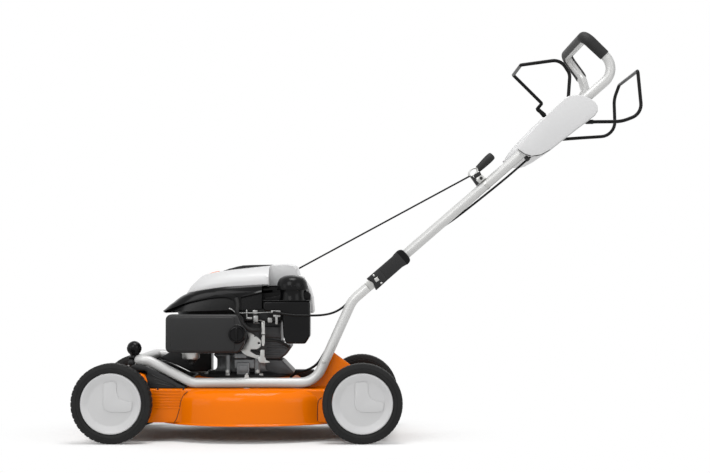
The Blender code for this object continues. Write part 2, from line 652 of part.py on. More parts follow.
def build_engine_block():
    """Crankcase, finned barrel, head, plug, muffler and the oil filler."""
    turn = upright(BLADE_X, 0)
    base = CROWN_Z + GAP
    case = [(CRANK_RADIUS + 0.001, base), (FLANGE_RADIUS, base), (FLANGE_RADIUS, 0.160), (0.095, 0.166),
            (CASE_RADIUS, 0.180), (CASE_RADIUS, 0.214), (0.070, 0.226), (0.036, 0.262),
            (0.036, 0.300), (CRANK_RADIUS + 0.001, 0.300)]
    body = place("crankcase", turned(case, 28, turn), cast())
    side = [(-0.3400, 0.2000), (-0.2120, 0.2000), (-0.1800, 0.2360), (-0.1800, 0.2990), (-0.3400, 0.2990)]
    cut(body, slab(side, -0.070, 0.070, 0.004), "rear_block", "UNION")
    bore = rod_along((BLADE_X, 0, 0.15), (BLADE_X, 0, 0.35), CRANK_RADIUS + 0.001, 28)
    cut(body, bore, "bore")
    fins = comb(-0.448, -0.3905, 0.056, 0.040, 6)
    barrel = place("cylinder", plan_slab(fins, 0.2145, 0.2980), cast())
    cut(barrel, rod_along((BLADE_X, 0, 0.15), (BLADE_X, 0, 0.35), CASE_RADIUS + 0.0008, 28), "seat")
    place("cylinder_head", block((-0.4680, -0.046, 0.2160), (-0.4485, 0.046, 0.2960), 0.003), cast())
    plug = [(0, 0), (0.0075, 0), (0.0075, 0.008), (0.0095, 0.010), (0.0095, 0.026),
            (0.006, 0.031), (0, 0.031)]
    lay = Matrix.Translation((-0.4683, 0, 0.2560)) @ Matrix.Rotation(radians(-90), 4, "Y")
    place("spark_plug", turned(plug, 12, lay), black())
    guard = [(-0.5080, 0.2950), (-0.5120, 0.2890), (-0.5130, 0.2120), (-0.5390, 0.1990), (-0.5370, 0.1945),
             (-0.4600, 0.1625), (-0.4020, 0.1600), (-0.4020, 0.2180), (-0.3520, 0.2300), (-0.3520, 0.2950)]
    place("muffler", slab(guard, 0.0700, 0.1350, 0.003), black())
    filler = [(0, 0.1670), (0.010, 0.1670), (0.010, 0.2200), (0.016, 0.2220), (0.016, 0.2340), (0, 0.2360)]
    place("oil_cap", turned(filler, 12, upright(BLADE_X, 0.1100)), black(), (BLADE_X, 0.1100, 0.1670))


def comb(left, right, wide, narrow, count):
    """A finned plan outline: both sides step between the fins' reach and the barrel's."""
    pitch = (right - left) / count
    upper = []
    for index in range(count):
        start = left + index * pitch
        fin_end = start + pitch * 0.45
        upper += [(start, wide), (fin_end, wide), (fin_end, narrow), (start + pitch, narrow)]
    upper += [(right + 0.030, narrow)]
    return upper + [(x, -y) for x, y in reversed(upper)]


def cowl_ring(front, rear, half, height, slope=COWL_SLOPE):
    """One plan ring of the engine's cowl: a rounded box whose height rises towards the rear."""
    corners = [(front, -half * 0.50), (front + 0.030, -half * 0.86), (front + 0.085, -half),
               (rear - 0.055, -half), (rear - 0.015, -half * 0.86), (rear, -half * 0.45)]
    ring = corners + [(x, -y) for x, y in reversed(corners)]
    return [Vector((x, y, height + slope * (x - BLADE_X))) for x, y in ring]


def loft(rings):
    """Joins plan rings from the bottom to the top into a closed body."""
    bm = bmesh.new()
    made = [[bm.verts.new(point) for point in ring] for ring in rings]
    for first, second in zip(made, made[1:]):
        join_rings(bm, first, second)
    bm.faces.new(made[0])
    bm.faces.new(made[-1])
    return bm


def cowl_shell(name, sections, paint):
    """A hood of rounded plan rings, open below, with the corner for the tank left out."""
    wall = 0.003
    inner = []
    for front, rear, half, height, *slope in sections:
        lowered = 0.012 if not inner else wall
        inner.append((front + wall, rear - wall, half - wall, height - lowered, *slope))
    hood = place(name, loft([cowl_ring(*section) for section in sections]), paint)
    cut(hood, tank_space(0), "tank_side")
    room = cut(hood, loft([cowl_ring(*section) for section in inner]), "room")
    cut(room, tank_space(wall), "tank_wall")
    return hood


def build_cowl():
    """The black blower housing, the light top cover over it and the vent grille."""
    lower = [(-0.512, -0.1460, 0.140, 0.3285, 0.030), (-0.5045, -0.1450, 0.1395, 0.3680),
             (-0.492, -0.1450, 0.1385, 0.3766), (-0.462, -0.1500, 0.134, 0.3860)]
    housing = cowl_shell("blower_housing", lower, black())
    cut(housing, rod_along((BLADE_X, 0, 0.33), (BLADE_X, 0, 0.45), 0.055, 24), "intake")
    upper = [(-0.464, -0.1400, 0.130, 0.3866), (-0.440, -0.1600, 0.124, 0.4130),
             (-0.412, -0.1780, 0.108, 0.4320), (-0.395, -0.1900, 0.090, 0.4390)]
    cover = cowl_shell("top_cover", upper, white())
    skirt = [(-0.1430, 0.3190), (-0.1225, 0.3190), (-0.1235, 0.3500), (-0.1290, 0.3850), (-0.1400, 0.4110),
             (-0.1500, 0.4200), (-0.1500, 0.4080), (-0.1430, 0.4078)]
    cut(cover, slab(skirt, -0.055, 0.055), "skirt", "UNION")
    rise = upper[-1][3] + GAP
    face = [(x, rise + COWL_SLOPE * (x - BLADE_X) + lift) for x, lift in
            ((-0.362, 0), (-0.232, 0), (-0.232, 0.003), (-0.362, 0.003))]
    place("vent_grille", slab(face, -0.050, 0.050), black())
    reel = [(0, 0.3695), (0.0400, 0.3695), (0.0400, 0.3760), (0.0360, 0.3765),
            (0.0360, 0.3835), (0.0400, 0.3840), (0.0400, 0.3900), (0, 0.3900)]
    place("recoil_pulley", turned(reel, 20, upright(BLADE_X, 0)), black(), (BLADE_X, 0, 0))


def tank_space(wall):
    """The corner of the cowl that is left free for the fuel tank, grown by a wall's thickness."""
    return block((-0.2560 - wall, -0.30, 0.25), (-0.05, -0.0750 + wall, 0.55))


def build_fuel():
    """The L-shaped tank and the domed cap on it."""
    tank = rounded([(-0.2500, 0.3090), (-0.2050, 0.3040), (-0.2020, 0.2640), (-0.1950, 0.2440),
                    (-0.1420, 0.2440), (-0.1300, 0.2640), (-0.1300, 0.3780), (-0.1400, 0.3950),
                    (-0.2200, 0.3950), (-0.2500, 0.3800)], 0.008, 2)
    place("fuel_tank", slab(tank, -0.1600, -0.0780, 0.005), black())
    cap = [(0, 0.3953), (0.0380, 0.3953), (0.0395, 0.3990), (0.0365, 0.4070),
           (0.0270, 0.4140), (0.0120, 0.4175), (0, 0.4180)]
    place("fuel_cap", turned(cap, 20, upright(FUEL_X, FUEL_Y)), black(), (FUEL_X, FUEL_Y, 0.3953))


def build_intake():
    """Air cleaner, carburettor and the small controls beside the engine."""
    outer = rounded([(-0.4930, 0.2220), (-0.2980, 0.2220), (-0.2980, 0.3180), (-0.4930, 0.3180)], 0.018, 3)
    cover = place("air_box_cover", slab(outer, -0.1900, -0.1480, 0.002), black())
    room = rounded([(-0.4880, 0.2270), (-0.3030, 0.2270), (-0.3030, 0.3130), (-0.4880, 0.3130)], 0.013, 2)
    cut(cover, slab(room, -0.1860, -0.1400), "room")
    place("air_filter", block((-0.4800, -0.1830, 0.2350), (-0.3400, -0.1500, 0.3050), 0.003), white())
    place("air_box_base", slab(outer, -0.1477, -0.1420, 0.001), black())
    disc = [(0, -0.0140), (0.0170, -0.0130), (0.0205, -0.0080), (0.0205, 0), (0, 0)]
    spot = (-0.3130, -0.1903, 0.2690)
    place("air_box_knob", turned(disc, 20, along_y(*spot)), black(), spot)
    place("carburettor", block((-0.4650, -0.1410, 0.2270), (-0.4100, -0.0640, 0.2750), 0.004), cast())
    cup = [(0, 0.2000), (0.0140, 0.2000), (0.0225, 0.2050), (0.0225, 0.2265), (0, 0.2265)]
    place("float_bowl", turned(cup, 20, upright(-0.4365, -0.1150)), steel())
    plate = [(-0.3070, 0.2330), (-0.2820, 0.2180), (-0.2560, 0.2250), (-0.2500, 0.2500), (-0.2620, 0.2640),
             (-0.2820, 0.2700), (-0.2950, 0.2560)]
    place("control_bracket", slab(plate, -0.1180, -0.1160), steel(), smooth=False)
    lever = rounded([(-0.2560, 0.1850), (-0.2460, 0.1850), (-0.2460, 0.3000), (-0.2560, 0.3000)], 0.004, 2)
    place("brake_lever", slab(lever, -0.1240, -0.1215), steel(), (-0.2510, -0.1228, 0.2400), smooth=False)


def build():
    clear_scene()
    for side in (-1, 1):
        build_wheel("front", side, FRONT_X)
        build_wheel("rear", side, REAR_X)
    build_axles()
    build_deck()
    build_front_cover()
    build_frame()
    build_fold()
    build_handle()
    build_cables()
    build_rotor()
    build_drive()
    build_engine_block()
    build_cowl()
    build_fuel()
    build_intake()


build()
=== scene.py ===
"""Looks of the petrol lawn mower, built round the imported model. Metres, +Z up.

The front points to -X, and the camera looks at the side with the handlebar tube, which is -Y.
"""
from math import atan2, cos, pi, radians, sin, tan

import bmesh
import bpy
from mathutils import Matrix, Vector
from mathutils.bvhtree import BVHTree


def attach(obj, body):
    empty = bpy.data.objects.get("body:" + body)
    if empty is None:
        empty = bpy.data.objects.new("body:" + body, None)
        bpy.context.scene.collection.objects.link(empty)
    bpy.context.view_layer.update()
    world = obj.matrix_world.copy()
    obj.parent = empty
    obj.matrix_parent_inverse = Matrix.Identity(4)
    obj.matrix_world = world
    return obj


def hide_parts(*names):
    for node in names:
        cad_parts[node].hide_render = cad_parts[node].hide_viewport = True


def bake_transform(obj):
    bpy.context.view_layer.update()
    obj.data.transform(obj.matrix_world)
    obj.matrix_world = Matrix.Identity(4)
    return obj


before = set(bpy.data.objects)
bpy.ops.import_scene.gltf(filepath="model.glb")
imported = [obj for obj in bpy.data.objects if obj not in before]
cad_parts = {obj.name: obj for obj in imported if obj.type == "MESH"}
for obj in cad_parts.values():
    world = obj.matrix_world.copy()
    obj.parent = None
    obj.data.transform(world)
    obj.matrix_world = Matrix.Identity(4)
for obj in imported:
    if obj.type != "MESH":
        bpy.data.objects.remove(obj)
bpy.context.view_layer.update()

# Places and sizes that follow the CAD
BLADE_X = -0.3
WHEEL_Y = 0.229
AXLE_Z = 0.0996
WHEEL_RADIUS = 0.0996
FRONT_X = -0.6195
REAR_X = 0.002
TUBE_Y = 0.165
TUBE_RADIUS = 0.0125
HANDLE_ANGLE = radians(40.9)
FOLD = (0.038, 0.4067)
FUEL_X, FUEL_Y = -0.177, -0.12
SHEET = 0.003


# Workshop: picking, drawing and finishing

def only(piece):
    """Picks one piece and nothing else."""
    bpy.ops.object.select_all(action="DESELECT")
    piece.select_set(True)
    bpy.context.view_layer.objects.active = piece
    return piece


def settled(name):
    """Names the new piece and moves its place into its mesh."""
    piece = only(bpy.context.object)
    bpy.ops.object.transform_apply(location=True, rotation=True, scale=True)
    piece.name = name
    piece.data.name = name
    return piece


def editing(piece, kind="VERT", pick="SELECT"):
    """Opens the piece for editing, with all or none of it picked."""
    only(piece)
    bpy.ops.object.mode_set(mode="EDIT")
    bpy.ops.mesh.select_mode(type=kind)
    bpy.ops.mesh.select_all(action=pick)


def placed(piece, matrix):
    """Moves a whole piece by a matrix, in its mesh."""
    piece.matrix_world = matrix
    only(piece)
    bpy.ops.object.transform_apply(location=True, rotation=True, scale=True)
    if matrix.determinant() < 0:
        outwards(piece)
    return piece


def outwards(piece):
    """Turns all faces outwards."""
    editing(piece)
    bpy.ops.mesh.normals_make_consistent(inside=False)
    bpy.ops.object.mode_set(mode="OBJECT")
    return piece


def apply(piece, name, kind, **values):
    """Adds a modifier with these values and applies it."""
    only(piece)
    step = piece.modifiers.new(name, kind)
    for key, value in values.items():
        setattr(step, key, value)
    bpy.ops.object.modifier_apply(modifier=step.name)
    return piece


def softened(piece, width, rows=2, angle=35):
    """Rounds every edge sharper than the angle."""
    return apply(piece, "soft edges", "BEVEL", width=width, segments=rows,
                 limit_method="ANGLE", angle_limit=radians(angle))


def carved(piece, tool, how="DIFFERENCE"):
    """Cuts the tool out of the piece, or keeps only what both share, and throws the tool away."""
    apply(piece, "carve", "BOOLEAN", operation=how, solver="EXACT", object=tool)
    bpy.data.objects.remove(tool)
    return piece


def joined(name, pieces):
    """Joins pieces into one."""
    bpy.ops.object.select_all(action="DESELECT")
    for piece in pieces:
        piece.select_set(True)
    bpy.context.view_layer.objects.active = pieces[0]
    bpy.ops.object.join()
    pieces[0].name = name
    pieces[0].data.name = name
    return pieces[0]


def copied(piece, name):
    """A copy with its own mesh."""
    twin = piece.copy()
    twin.data = piece.data.copy()
    twin.name = name
    twin.data.name = name
    bpy.context.collection.objects.link(twin)
    return twin


def finished(piece, finish, body, nodes=(), angle=32):
    """Paints and smooths the piece, puts it on its body and hides the nodes that it stands for."""
    only(piece)
    piece.data.materials.clear()
    piece.data.materials.append(finish)
    if piece.type == "MESH":
        bpy.ops.object.shade_smooth_by_angle(angle=radians(angle))
    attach(piece, body)
    if nodes:
        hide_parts(*nodes)
    return piece


def lathe(name, outline, steps, turn=Matrix.Identity(4), ring=False):
    """A turned piece: a circle drawn out through the (radius, height) outline.

    A ring's outline runs all round its section, and the last circle is bridged to the first.
    """
    radius, height = outline[0]
    bpy.ops.mesh.primitive_circle_add(vertices=steps, radius=radius, location=(0, 0, height),
                                      fill_type="NOTHING" if ring else "NGON")
    piece = settled(name)
    editing(piece)
    for wide, high in outline[1:]:
        bpy.ops.mesh.extrude_region_move(TRANSFORM_OT_translate={"value": (0, 0, high - height)})
        size = wide / radius
        bpy.ops.transform.resize(value=(size, size, 1), center_override=(0, 0, high))
        radius, height = wide, high
    if ring:
        bpy.ops.mesh.select_mode(type="EDGE")
        bpy.ops.mesh.select_all(action="DESELECT")
        bpy.ops.mesh.select_non_manifold()
        bpy.ops.mesh.bridge_edge_loops()
    bpy.ops.mesh.select_all(action="SELECT")
    bpy.ops.mesh.normals_make_consistent(inside=False)
    bpy.ops.object.mode_set(mode="OBJECT")
    return placed(piece, turn)


def sketched(name, outline, low, high):
    """A flat piece cut to an (x, z) outline, and drawn out across the machine from low to high."""
    points = [Vector((x, low, z)) for x, z in outline]
    bpy.ops.mesh.primitive_plane_add(size=0.01, location=points[0])
    piece = settled(name)
    editing(piece)
    bpy.ops.mesh.merge(type="CENTER")
    for here, there in zip(points, points[1:]):
        bpy.ops.mesh.extrude_region_move(TRANSFORM_OT_translate={"value": there - here})
    bpy.ops.mesh.select_all(action="SELECT")
    bpy.ops.mesh.edge_face_add()
    bpy.ops.mesh.extrude_region_move(TRANSFORM_OT_translate={"value": (0, high - low, 0)})
    bpy.ops.mesh.select_all(action="SELECT")
    bpy.ops.mesh.normals_make_consistent(inside=False)
    bpy.ops.object.mode_set(mode="OBJECT")
    return piece


def slab(name, outline, low, high, edge, rows=2, angle=35):
    """A sketched piece with rounded edges."""
    return softened(sketched(name, outline, low, high), edge, rows, angle)


def boxed(name, low, high, edge=0.0, rows=2):
    """A block between two corners with rounded edges."""
    size = [b - a for a, b in zip(low, high)]
    middle = [(a + b) / 2 for a, b in zip(low, high)]
    bpy.ops.mesh.primitive_cube_add(size=1, location=middle, scale=size)
    piece = settled(name)
    return softened(piece, edge, rows) if edge else piece


def lofted(name, rings):
    """A skin through rings of points, from the first to the last, with both ends filled."""
    bm = bmesh.new()
    loops = [[bm.verts.new(point) for point in ring] for ring in rings]
    for first, second in zip(loops, loops[1:]):
        for index, corner in enumerate(first):
            after = (index + 1) % len(first)
            bm.faces.new((corner, first[after], second[after], second[index]))
    bm.faces.new(loops[0])
    bm.faces.new(loops[-1])
    bmesh.ops.recalc_face_normals(bm, faces=bm.faces)
    mesh = bpy.data.meshes.new(name)
    bm.to_mesh(mesh)
    bm.free()
    piece = bpy.data.objects.new(name, mesh)
    bpy.context.collection.objects.link(piece)
    return piece


def piped(name, points, radius, rows=5):
    """A round bar or tube that follows the points."""
    curve = bpy.data.curves.new(name, "CURVE")
    curve.dimensions = "3D"
    curve.bevel_depth = radius
    curve.bevel_resolution = rows
    curve.use_fill_caps = True
    line = curve.splines.new("POLY")
    line.points.add(len(points) - 1)
    for slot, point in zip(line.points, points):
        slot.co = (*point, 1.0)
    piece = bpy.data.objects.new(name, curve)
    bpy.context.collection.objects.link(piece)
    only(piece)
    bpy.ops.object.convert(target="MESH")
    piece = bpy.context.object
    editing(piece)
    bpy.ops.mesh.remove_doubles(threshold=0.00001)
    bpy.ops.mesh.normals_make_consistent(inside=False)
    bpy.ops.object.mode_set(mode="OBJECT")
    return piece


def screw(name, place, direction, radius, height):
    """A hexagon-headed screw that stands on a face."""
    heading = Vector(direction).to_track_quat("Z", "Y").to_matrix().to_4x4()
    turn = Matrix.Translation(place) @ heading
    outline = [(radius * 1.25, 0), (radius * 1.25, height * 0.25), (radius, height * 0.26),
               (radius, height * 0.9), (radius * 0.8, height)]
    return lathe(name, outline, 6, turn)


# Lines

def arc_at(corner, before, after, radius, steps):
    """Points of the arc that rounds a corner."""
    first, second = before.normalized(), after.normalized()
    angle = first.angle(second)
    if abs(pi - angle) < 1e-3:
        return [corner]
    reach = min(radius / tan(angle / 2), before.length * 0.49, after.length * 0.49)
    middle = corner + (first + second).normalized() * (reach * tan(angle / 2) / sin(angle / 2))
    start, end = corner + first * reach - middle, corner + second * reach - middle
    sweep = start.angle(end)
    shares = [step / steps for step in range(steps + 1)]
    return [middle + (start * sin((1 - s) * sweep) + end * sin(s * sweep)) / sin(sweep) for s in shares]


def bent(corners, steps):
    """The line of a bent tube, from (x, y, z, bend radius) corners."""
    points = [Vector(corners[0][:3])]
    for before, corner, after in zip(corners, corners[1:], corners[2:]):
        here = Vector(corner[:3])
        points += arc_at(here, Vector(before[:3]) - here, Vector(after[:3]) - here, corner[3], steps)
    return points + [Vector(corners[-1][:3])]


def mirrored(corners):
    """The same corners on the machine's other side, in turned order."""
    return [(x, -y, z, bend) for x, y, z, bend in reversed(corners)]


def rounded(outline, radius, steps):
    """A closed 2D outline with its corners rounded."""
    points = [Vector(p) for p in outline]
    out = []
    for index, corner in enumerate(points):
        before = points[index - 1] - corner
        after = points[(index + 1) % len(points)] - corner
        out += [tuple(p) for p in arc_at(corner, before, after, radius, steps)]
    return out


def flowing(knots, spacing):
    """A smooth line through the knots, with points about one spacing apart."""
    places = [Vector(k) for k in knots]
    ends = [places[0] * 2 - places[1]] + places + [places[-1] * 2 - places[-2]]
    points = [places[0]]
    for a, b, c, d in zip(ends, ends[1:], ends[2:], ends[3:]):
        steps = max(1, round((c - b).length / spacing))
        for step in range(1, steps + 1):
            t = step / steps
            bend = (a * -1 + b * 3 - c * 3 + d) * t ** 3
            lean = (a * 2 - b * 5 + c * 4 - d) * t ** 2
            points.append((bend + lean + (c - a) * t + b * 2) / 2)
    return points


def on_handle(along, across):
    """The (x, z) of a place on the handlebar tube, along it from the fold and square to it."""
    x = FOLD[0] + along * cos(HANDLE_ANGLE) - across * sin(HANDLE_ANGLE)
    z = FOLD[1] + along * sin(HANDLE_ANGLE) + across * cos(HANDLE_ANGLE)
    return x, z


def handle_outline(points):
    """An outline given along and across the handlebar tube, as (x, z)."""
    return [on_handle(along, across) for along, across in points]


def across_machine(x, y, z, outwards_left=True):
    """The matrix that lays a turned piece's axis across the machine, pointing out on one side."""
    return Matrix.Translation((x, y, z)) @ Matrix.Rotation(radians(90 if outwards_left else -90), 4, "X")


def at(x, y, z=0.0):
    """A move to a place."""
    return Matrix.Translation((x, y, z))


# Finishes

DUST_COLOUR = (0.42, 0.4, 0.37)


def add_node(tree, kind, values=None, **settings):
    """A new node with its settings made and the values of its inputs given by name."""
    node = tree.nodes.new(kind)
    for key, value in settings.items():
        setattr(node, key, value)
    for key, value in (values or {}).items():
        node.inputs[key].default_value = value
    return node


def noise(tree, place, size, detail):
    """Noise on a place, whose size another node gives."""
    node = add_node(tree, "ShaderNodeTexNoise", {"Detail": detail})
    tree.links.new(place, node.inputs["Vector"])
    tree.links.new(size, node.inputs["Scale"])
    return node.outputs["Fac"]


def worked(tree, operation, first, second):
    """Two values worked into one."""
    node = add_node(tree, "ShaderNodeMath", operation=operation)
    tree.links.new(first, node.inputs[0])
    tree.links.new(second, node.inputs[1])
    return node.outputs[0]


def mapped(tree, value, limits, way="LINEAR"):
    """A value stretched between limits."""
    node = add_node(tree, "ShaderNodeMapRange", limits, interpolation_type=way)
    tree.links.new(value, node.inputs["Value"])
    return node.outputs["Result"]


def toned(tree, first, second, share):
    """A colour between two, the first of which may come from another node."""
    node = add_node(tree, "ShaderNodeMix", data_type="RGBA")
    if isinstance(first, tuple):
        node.inputs["A"].default_value = (*first, 1.0)
    else:
        tree.links.new(first, node.inputs["A"])
    node.inputs["B"].default_value = (*second, 1.0)
    tree.links.new(share, node.inputs["Factor"])
    return node.outputs["Result"]


def new_group(name, inputs, outputs):
    """An empty node group with number sockets, and its two end nodes."""
    tree = bpy.data.node_groups.new(name, "ShaderNodeTree")
    for label, value in inputs.items():
        made = tree.interface.new_socket(name=label, in_out="INPUT", socket_type="NodeSocketFloat")
        made.default_value = value
    for label in outputs:
        tree.interface.new_socket(name=label, in_out="OUTPUT", socket_type="NodeSocketFloat")
    return tree, add_node(tree, "NodeGroupInput"), add_node(tree, "NodeGroupOutput")


def surface_group():
    """Mottle, grain height and settled dust, on Object coordinates."""
    inputs = {"Mottle size": 8.0, "Grain size": 900.0, "Dust": 0.3}
    tree, start, end = new_group("surface", inputs, ("Mottle", "Grain", "Dust mask"))
    place = add_node(tree, "ShaderNodeTexCoord").outputs["Object"]
    mottle = noise(tree, place, start.outputs["Mottle size"], 4.0)
    tree.links.new(mottle, end.inputs["Mottle"])
    tree.links.new(noise(tree, place, start.outputs["Grain size"], 2.0), end.inputs["Grain"])
    split = add_node(tree, "ShaderNodeSeparateXYZ")
    tree.links.new(add_node(tree, "ShaderNodeNewGeometry").outputs["Normal"], split.inputs["Vector"])
    facing = mapped(tree, split.outputs["Z"], {"From Min": 0.2, "From Max": 1.0})
    patch = mapped(tree, mottle, {"From Min": 0.42, "From Max": 0.7})
    settled_dust = worked(tree, "MULTIPLY", worked(tree, "MULTIPLY", facing, patch), start.outputs["Dust"])
    tree.links.new(settled_dust, end.inputs["Dust mask"])
    return tree


def brushed_group():
    """Fine lines along one axis, for drawn and ground metal."""
    tree, start, end = new_group("brushed", {"Line size": 40.0}, ("Lines",))
    stretch = add_node(tree, "ShaderNodeMapping", {"Scale": (1.0, 12.0, 12.0)})
    tree.links.new(add_node(tree, "ShaderNodeTexCoord").outputs["Object"], stretch.inputs["Vector"])
    lines = noise(tree, stretch.outputs["Vector"], start.outputs["Line size"], 3.0)
    tree.links.new(lines, end.inputs["Lines"])
    return tree


SURFACE = surface_group()
BRUSHED = brushed_group()


def paint(name, colour, second, rough, mottle, bump, metal=0.0, coat=0.0, grain=900.0,
          rough_range=0.08, dust=0.0, lines=False, gleam=0.5, bounce=None):
    """A finish: two close colours that mottle, a grain in the surface, and dust on what faces up.

    A bounce colour is what light takes from the finish when it passes it on to other pieces.
    """
    made = bpy.data.materials.new(name)
    made.use_nodes = True
    tree = made.node_tree
    shader = tree.nodes["Principled BSDF"]
    shader.inputs["Metallic"].default_value = metal
    shader.inputs["Specular IOR Level"].default_value = gleam
    shader.inputs["Coat Weight"].default_value = coat
    shader.inputs["Coat Roughness"].default_value = 0.06
    sizes = {"Mottle size": mottle, "Grain size": grain, "Dust": dust}
    surface = add_node(tree, "ShaderNodeGroup", sizes, node_tree=SURFACE)
    shown = toned(tree, colour, second, surface.outputs["Mottle"])
    shown = toned(tree, shown, DUST_COLOUR, surface.outputs["Dust mask"])
    if bounce:
        path = add_node(tree, "ShaderNodeLightPath")
        shown = toned(tree, shown, bounce, path.outputs["Is Diffuse Ray"])
    tree.links.new(shown, shader.inputs["Base Color"])
    limits = {"To Min": max(0.02, rough - rough_range), "To Max": min(1.0, rough + rough_range)}
    tree.links.new(mapped(tree, surface.outputs["Mottle"], limits), shader.inputs["Roughness"])
    height = surface.outputs["Grain"]
    if lines:
        height = add_node(tree, "ShaderNodeGroup", node_tree=BRUSHED).outputs["Lines"]
    relief = add_node(tree, "ShaderNodeBump", {"Strength": bump, "Distance": 0.0004})
    tree.links.new(height, relief.inputs["Height"])
    tree.links.new(relief.outputs["Normal"], shader.inputs["Normal"])
    return made


ORANGE = paint("orange gloss paint", (0.87, 0.18, 0.0015), (0.83, 0.167, 0.001), 0.26, coat=0.22, mottle=5,
               grain=260, bump=0.02, rough_range=0.05, gleam=0.0, bounce=(0.34, 0.19, 0.1))
TUBE = paint("silver tube paint", (0.58, 0.58, 0.57), (0.55, 0.55, 0.545), 0.34, metal=0.15, mottle=14,
             grain=300, bump=0.008, rough_range=0.04)
# The frame tube's silver paint made darker for the handlebar tube: painted shade, not a paint of its own.
SHADED_BAR = paint("silver tube paint, painted shade", (0.53, 0.53, 0.52), (0.5, 0.5, 0.495), 0.36, metal=0.15, mottle=14,
            grain=300, bump=0.008, rough_range=0.04)
PANEL = paint("light grey moulding", (0.6, 0.6, 0.6), (0.57, 0.57, 0.575), 0.38, mottle=7, grain=1500,
              bump=0.05)
# The same light grey moulding made darker: painted shade on the console's body between its end plates.
PANEL_SHADED = paint("light grey moulding, painted shade", (0.48, 0.48, 0.48), (0.45, 0.45, 0.455), 0.42, mottle=7,
                  grain=1500, bump=0.05)
CAP = paint("light grey wheel cap", (0.55, 0.55, 0.55), (0.52, 0.52, 0.525), 0.34, mottle=9, grain=1500,
            bump=0.05)
GLOSS = paint("black gloss moulding", (0.003, 0.003, 0.0033), (0.0052, 0.0052, 0.0055), 0.2, mottle=9,
              grain=1300, bump=0.04, gleam=0.14)
GRAINED = paint("black grained moulding", (0.013, 0.013, 0.0135), (0.009, 0.009, 0.0093), 0.42, mottle=10,
                grain=1600, bump=0.3, gleam=0.3)
SOFT = paint("soft black rubber", (0.0143, 0.0143, 0.0143), (0.0101, 0.0101, 0.0101), 0.62, mottle=16,
             grain=1100, bump=0.3, gleam=0.3)
TYRE = paint("tyre rubber", (0.011, 0.011, 0.011), (0.007, 0.007, 0.007), 0.66, mottle=22, grain=800,
             bump=0.4, dust=0.02, gleam=0.22)
WIRE = paint("black wire coating", (0.004, 0.004, 0.004), (0.007, 0.007, 0.007), 0.34, mottle=20, grain=900,
             bump=0.12, gleam=0.12)
CAST = paint("cast aluminium", (0.25, 0.255, 0.26), (0.16, 0.165, 0.17), 0.5, metal=0.6, mottle=30,
             grain=420, bump=0.8)
DARK_CAST = paint("dark cast aluminium", (0.09, 0.09, 0.093), (0.055, 0.055, 0.057), 0.5, metal=0.5,
                  mottle=30, grain=420, bump=0.8)
BRIGHT = paint("zinc-plated steel", (0.52, 0.52, 0.505), (0.4, 0.4, 0.39), 0.34, metal=0.85, mottle=60,
               bump=0.05, lines=True)
DULL = paint("ground steel", (0.33, 0.33, 0.325), (0.24, 0.24, 0.235), 0.42, metal=0.85, mottle=30,
             bump=0.12, lines=True)


# Wheels

def tyre_outline(tread):
    """The section of a tyre without its lugs, as (radius, depth)."""
    half = [(0.0762, 0.0165), (0.0775, 0.019), (0.08, 0.0204), (0.085, 0.0209), (0.0862, 0.0201),
            (0.0874, 0.0208), (0.0925, 0.0205), (tread - 0.0018, 0.0186), (tread, 0.0152), (tread, 0.0055)]
    return half + [(radius, -depth) for radius, depth in reversed(half)]


def build_tyre(steps, tread):
    """One tyre at the origin, lying flat, with raised lugs round its tread."""
    tyre = lathe("tyre", tyre_outline(tread), steps, ring=True)
    editing(tyre, "FACE", "DESELECT")
    bm = bmesh.from_edit_mesh(tyre.data)
    for face in bm.faces:
        middle = face.calc_center_median()
        if Vector((middle.x, middle.y)).length < tread - 0.002:
            continue
        step = int((atan2(middle.y, middle.x) % (2 * pi)) / (2 * pi) * steps)
        row = 0 if abs(middle.z) < 0.005 else (1 if middle.z > 0 else 3)
        if (row == 0 and step % 8 < 7) or (row and (step + row) % 4 < 3):
            face.select_set(True)
    bmesh.update_edit_mesh(tyre.data)
    bpy.ops.mesh.extrude_region_move(TRANSFORM_OT_translate={"value": (0, 0, 0)})
    size = (WHEEL_RADIUS - 0.00005) / tread
    bpy.ops.transform.resize(value=(size, size, 1), center_override=(0, 0, 0))
    bpy.ops.object.mode_set(mode="OBJECT")
    return tyre


def build_cap():
    """One wheel cap with its rim and hub at the origin, lying flat, facing +Z."""
    outline = [(0.0005, 0.0112), (0.02, 0.0112), (0.042, 0.0112), (0.0535, 0.011), (0.056, 0.0112),
               (0.058, 0.0122), (0.061, 0.0142), (0.066, 0.0172), (0.07, 0.0194), (0.072, 0.0202),
               (0.0738, 0.02), (0.075, 0.0188), (0.0757, 0.0165), (0.0757, -0.015), (0.074, -0.0165),
               (0.071, -0.0165), (0.069, 0.003), (0.018, 0.005), (0.0165, -0.016), (0.0083, -0.016),
               (0.0083, 0.0085), (0.0005, 0.0085)]
    cap = lathe("cap", outline, 96)
    band = [(-0.0187, 0.052), (-0.019, -0.002), (-0.015, -0.015), (-0.002, -0.0208), (0.03, -0.0217),
            (0.05, -0.019), (0.053, -0.006), (0.0535, 0.004), (0.033, 0.0068), (0.0205, 0.013),
            (0.014, 0.028), (0.0137, 0.053), (0.002, 0.0548)]
    raised = slab("band", rounded(band, 0.008, 4), -0.0138, -0.01, 0.0016, 3, 60)
    placed(raised, Matrix.Rotation(radians(-90), 4, "X"))
    return joined("cap", [cap, raised])


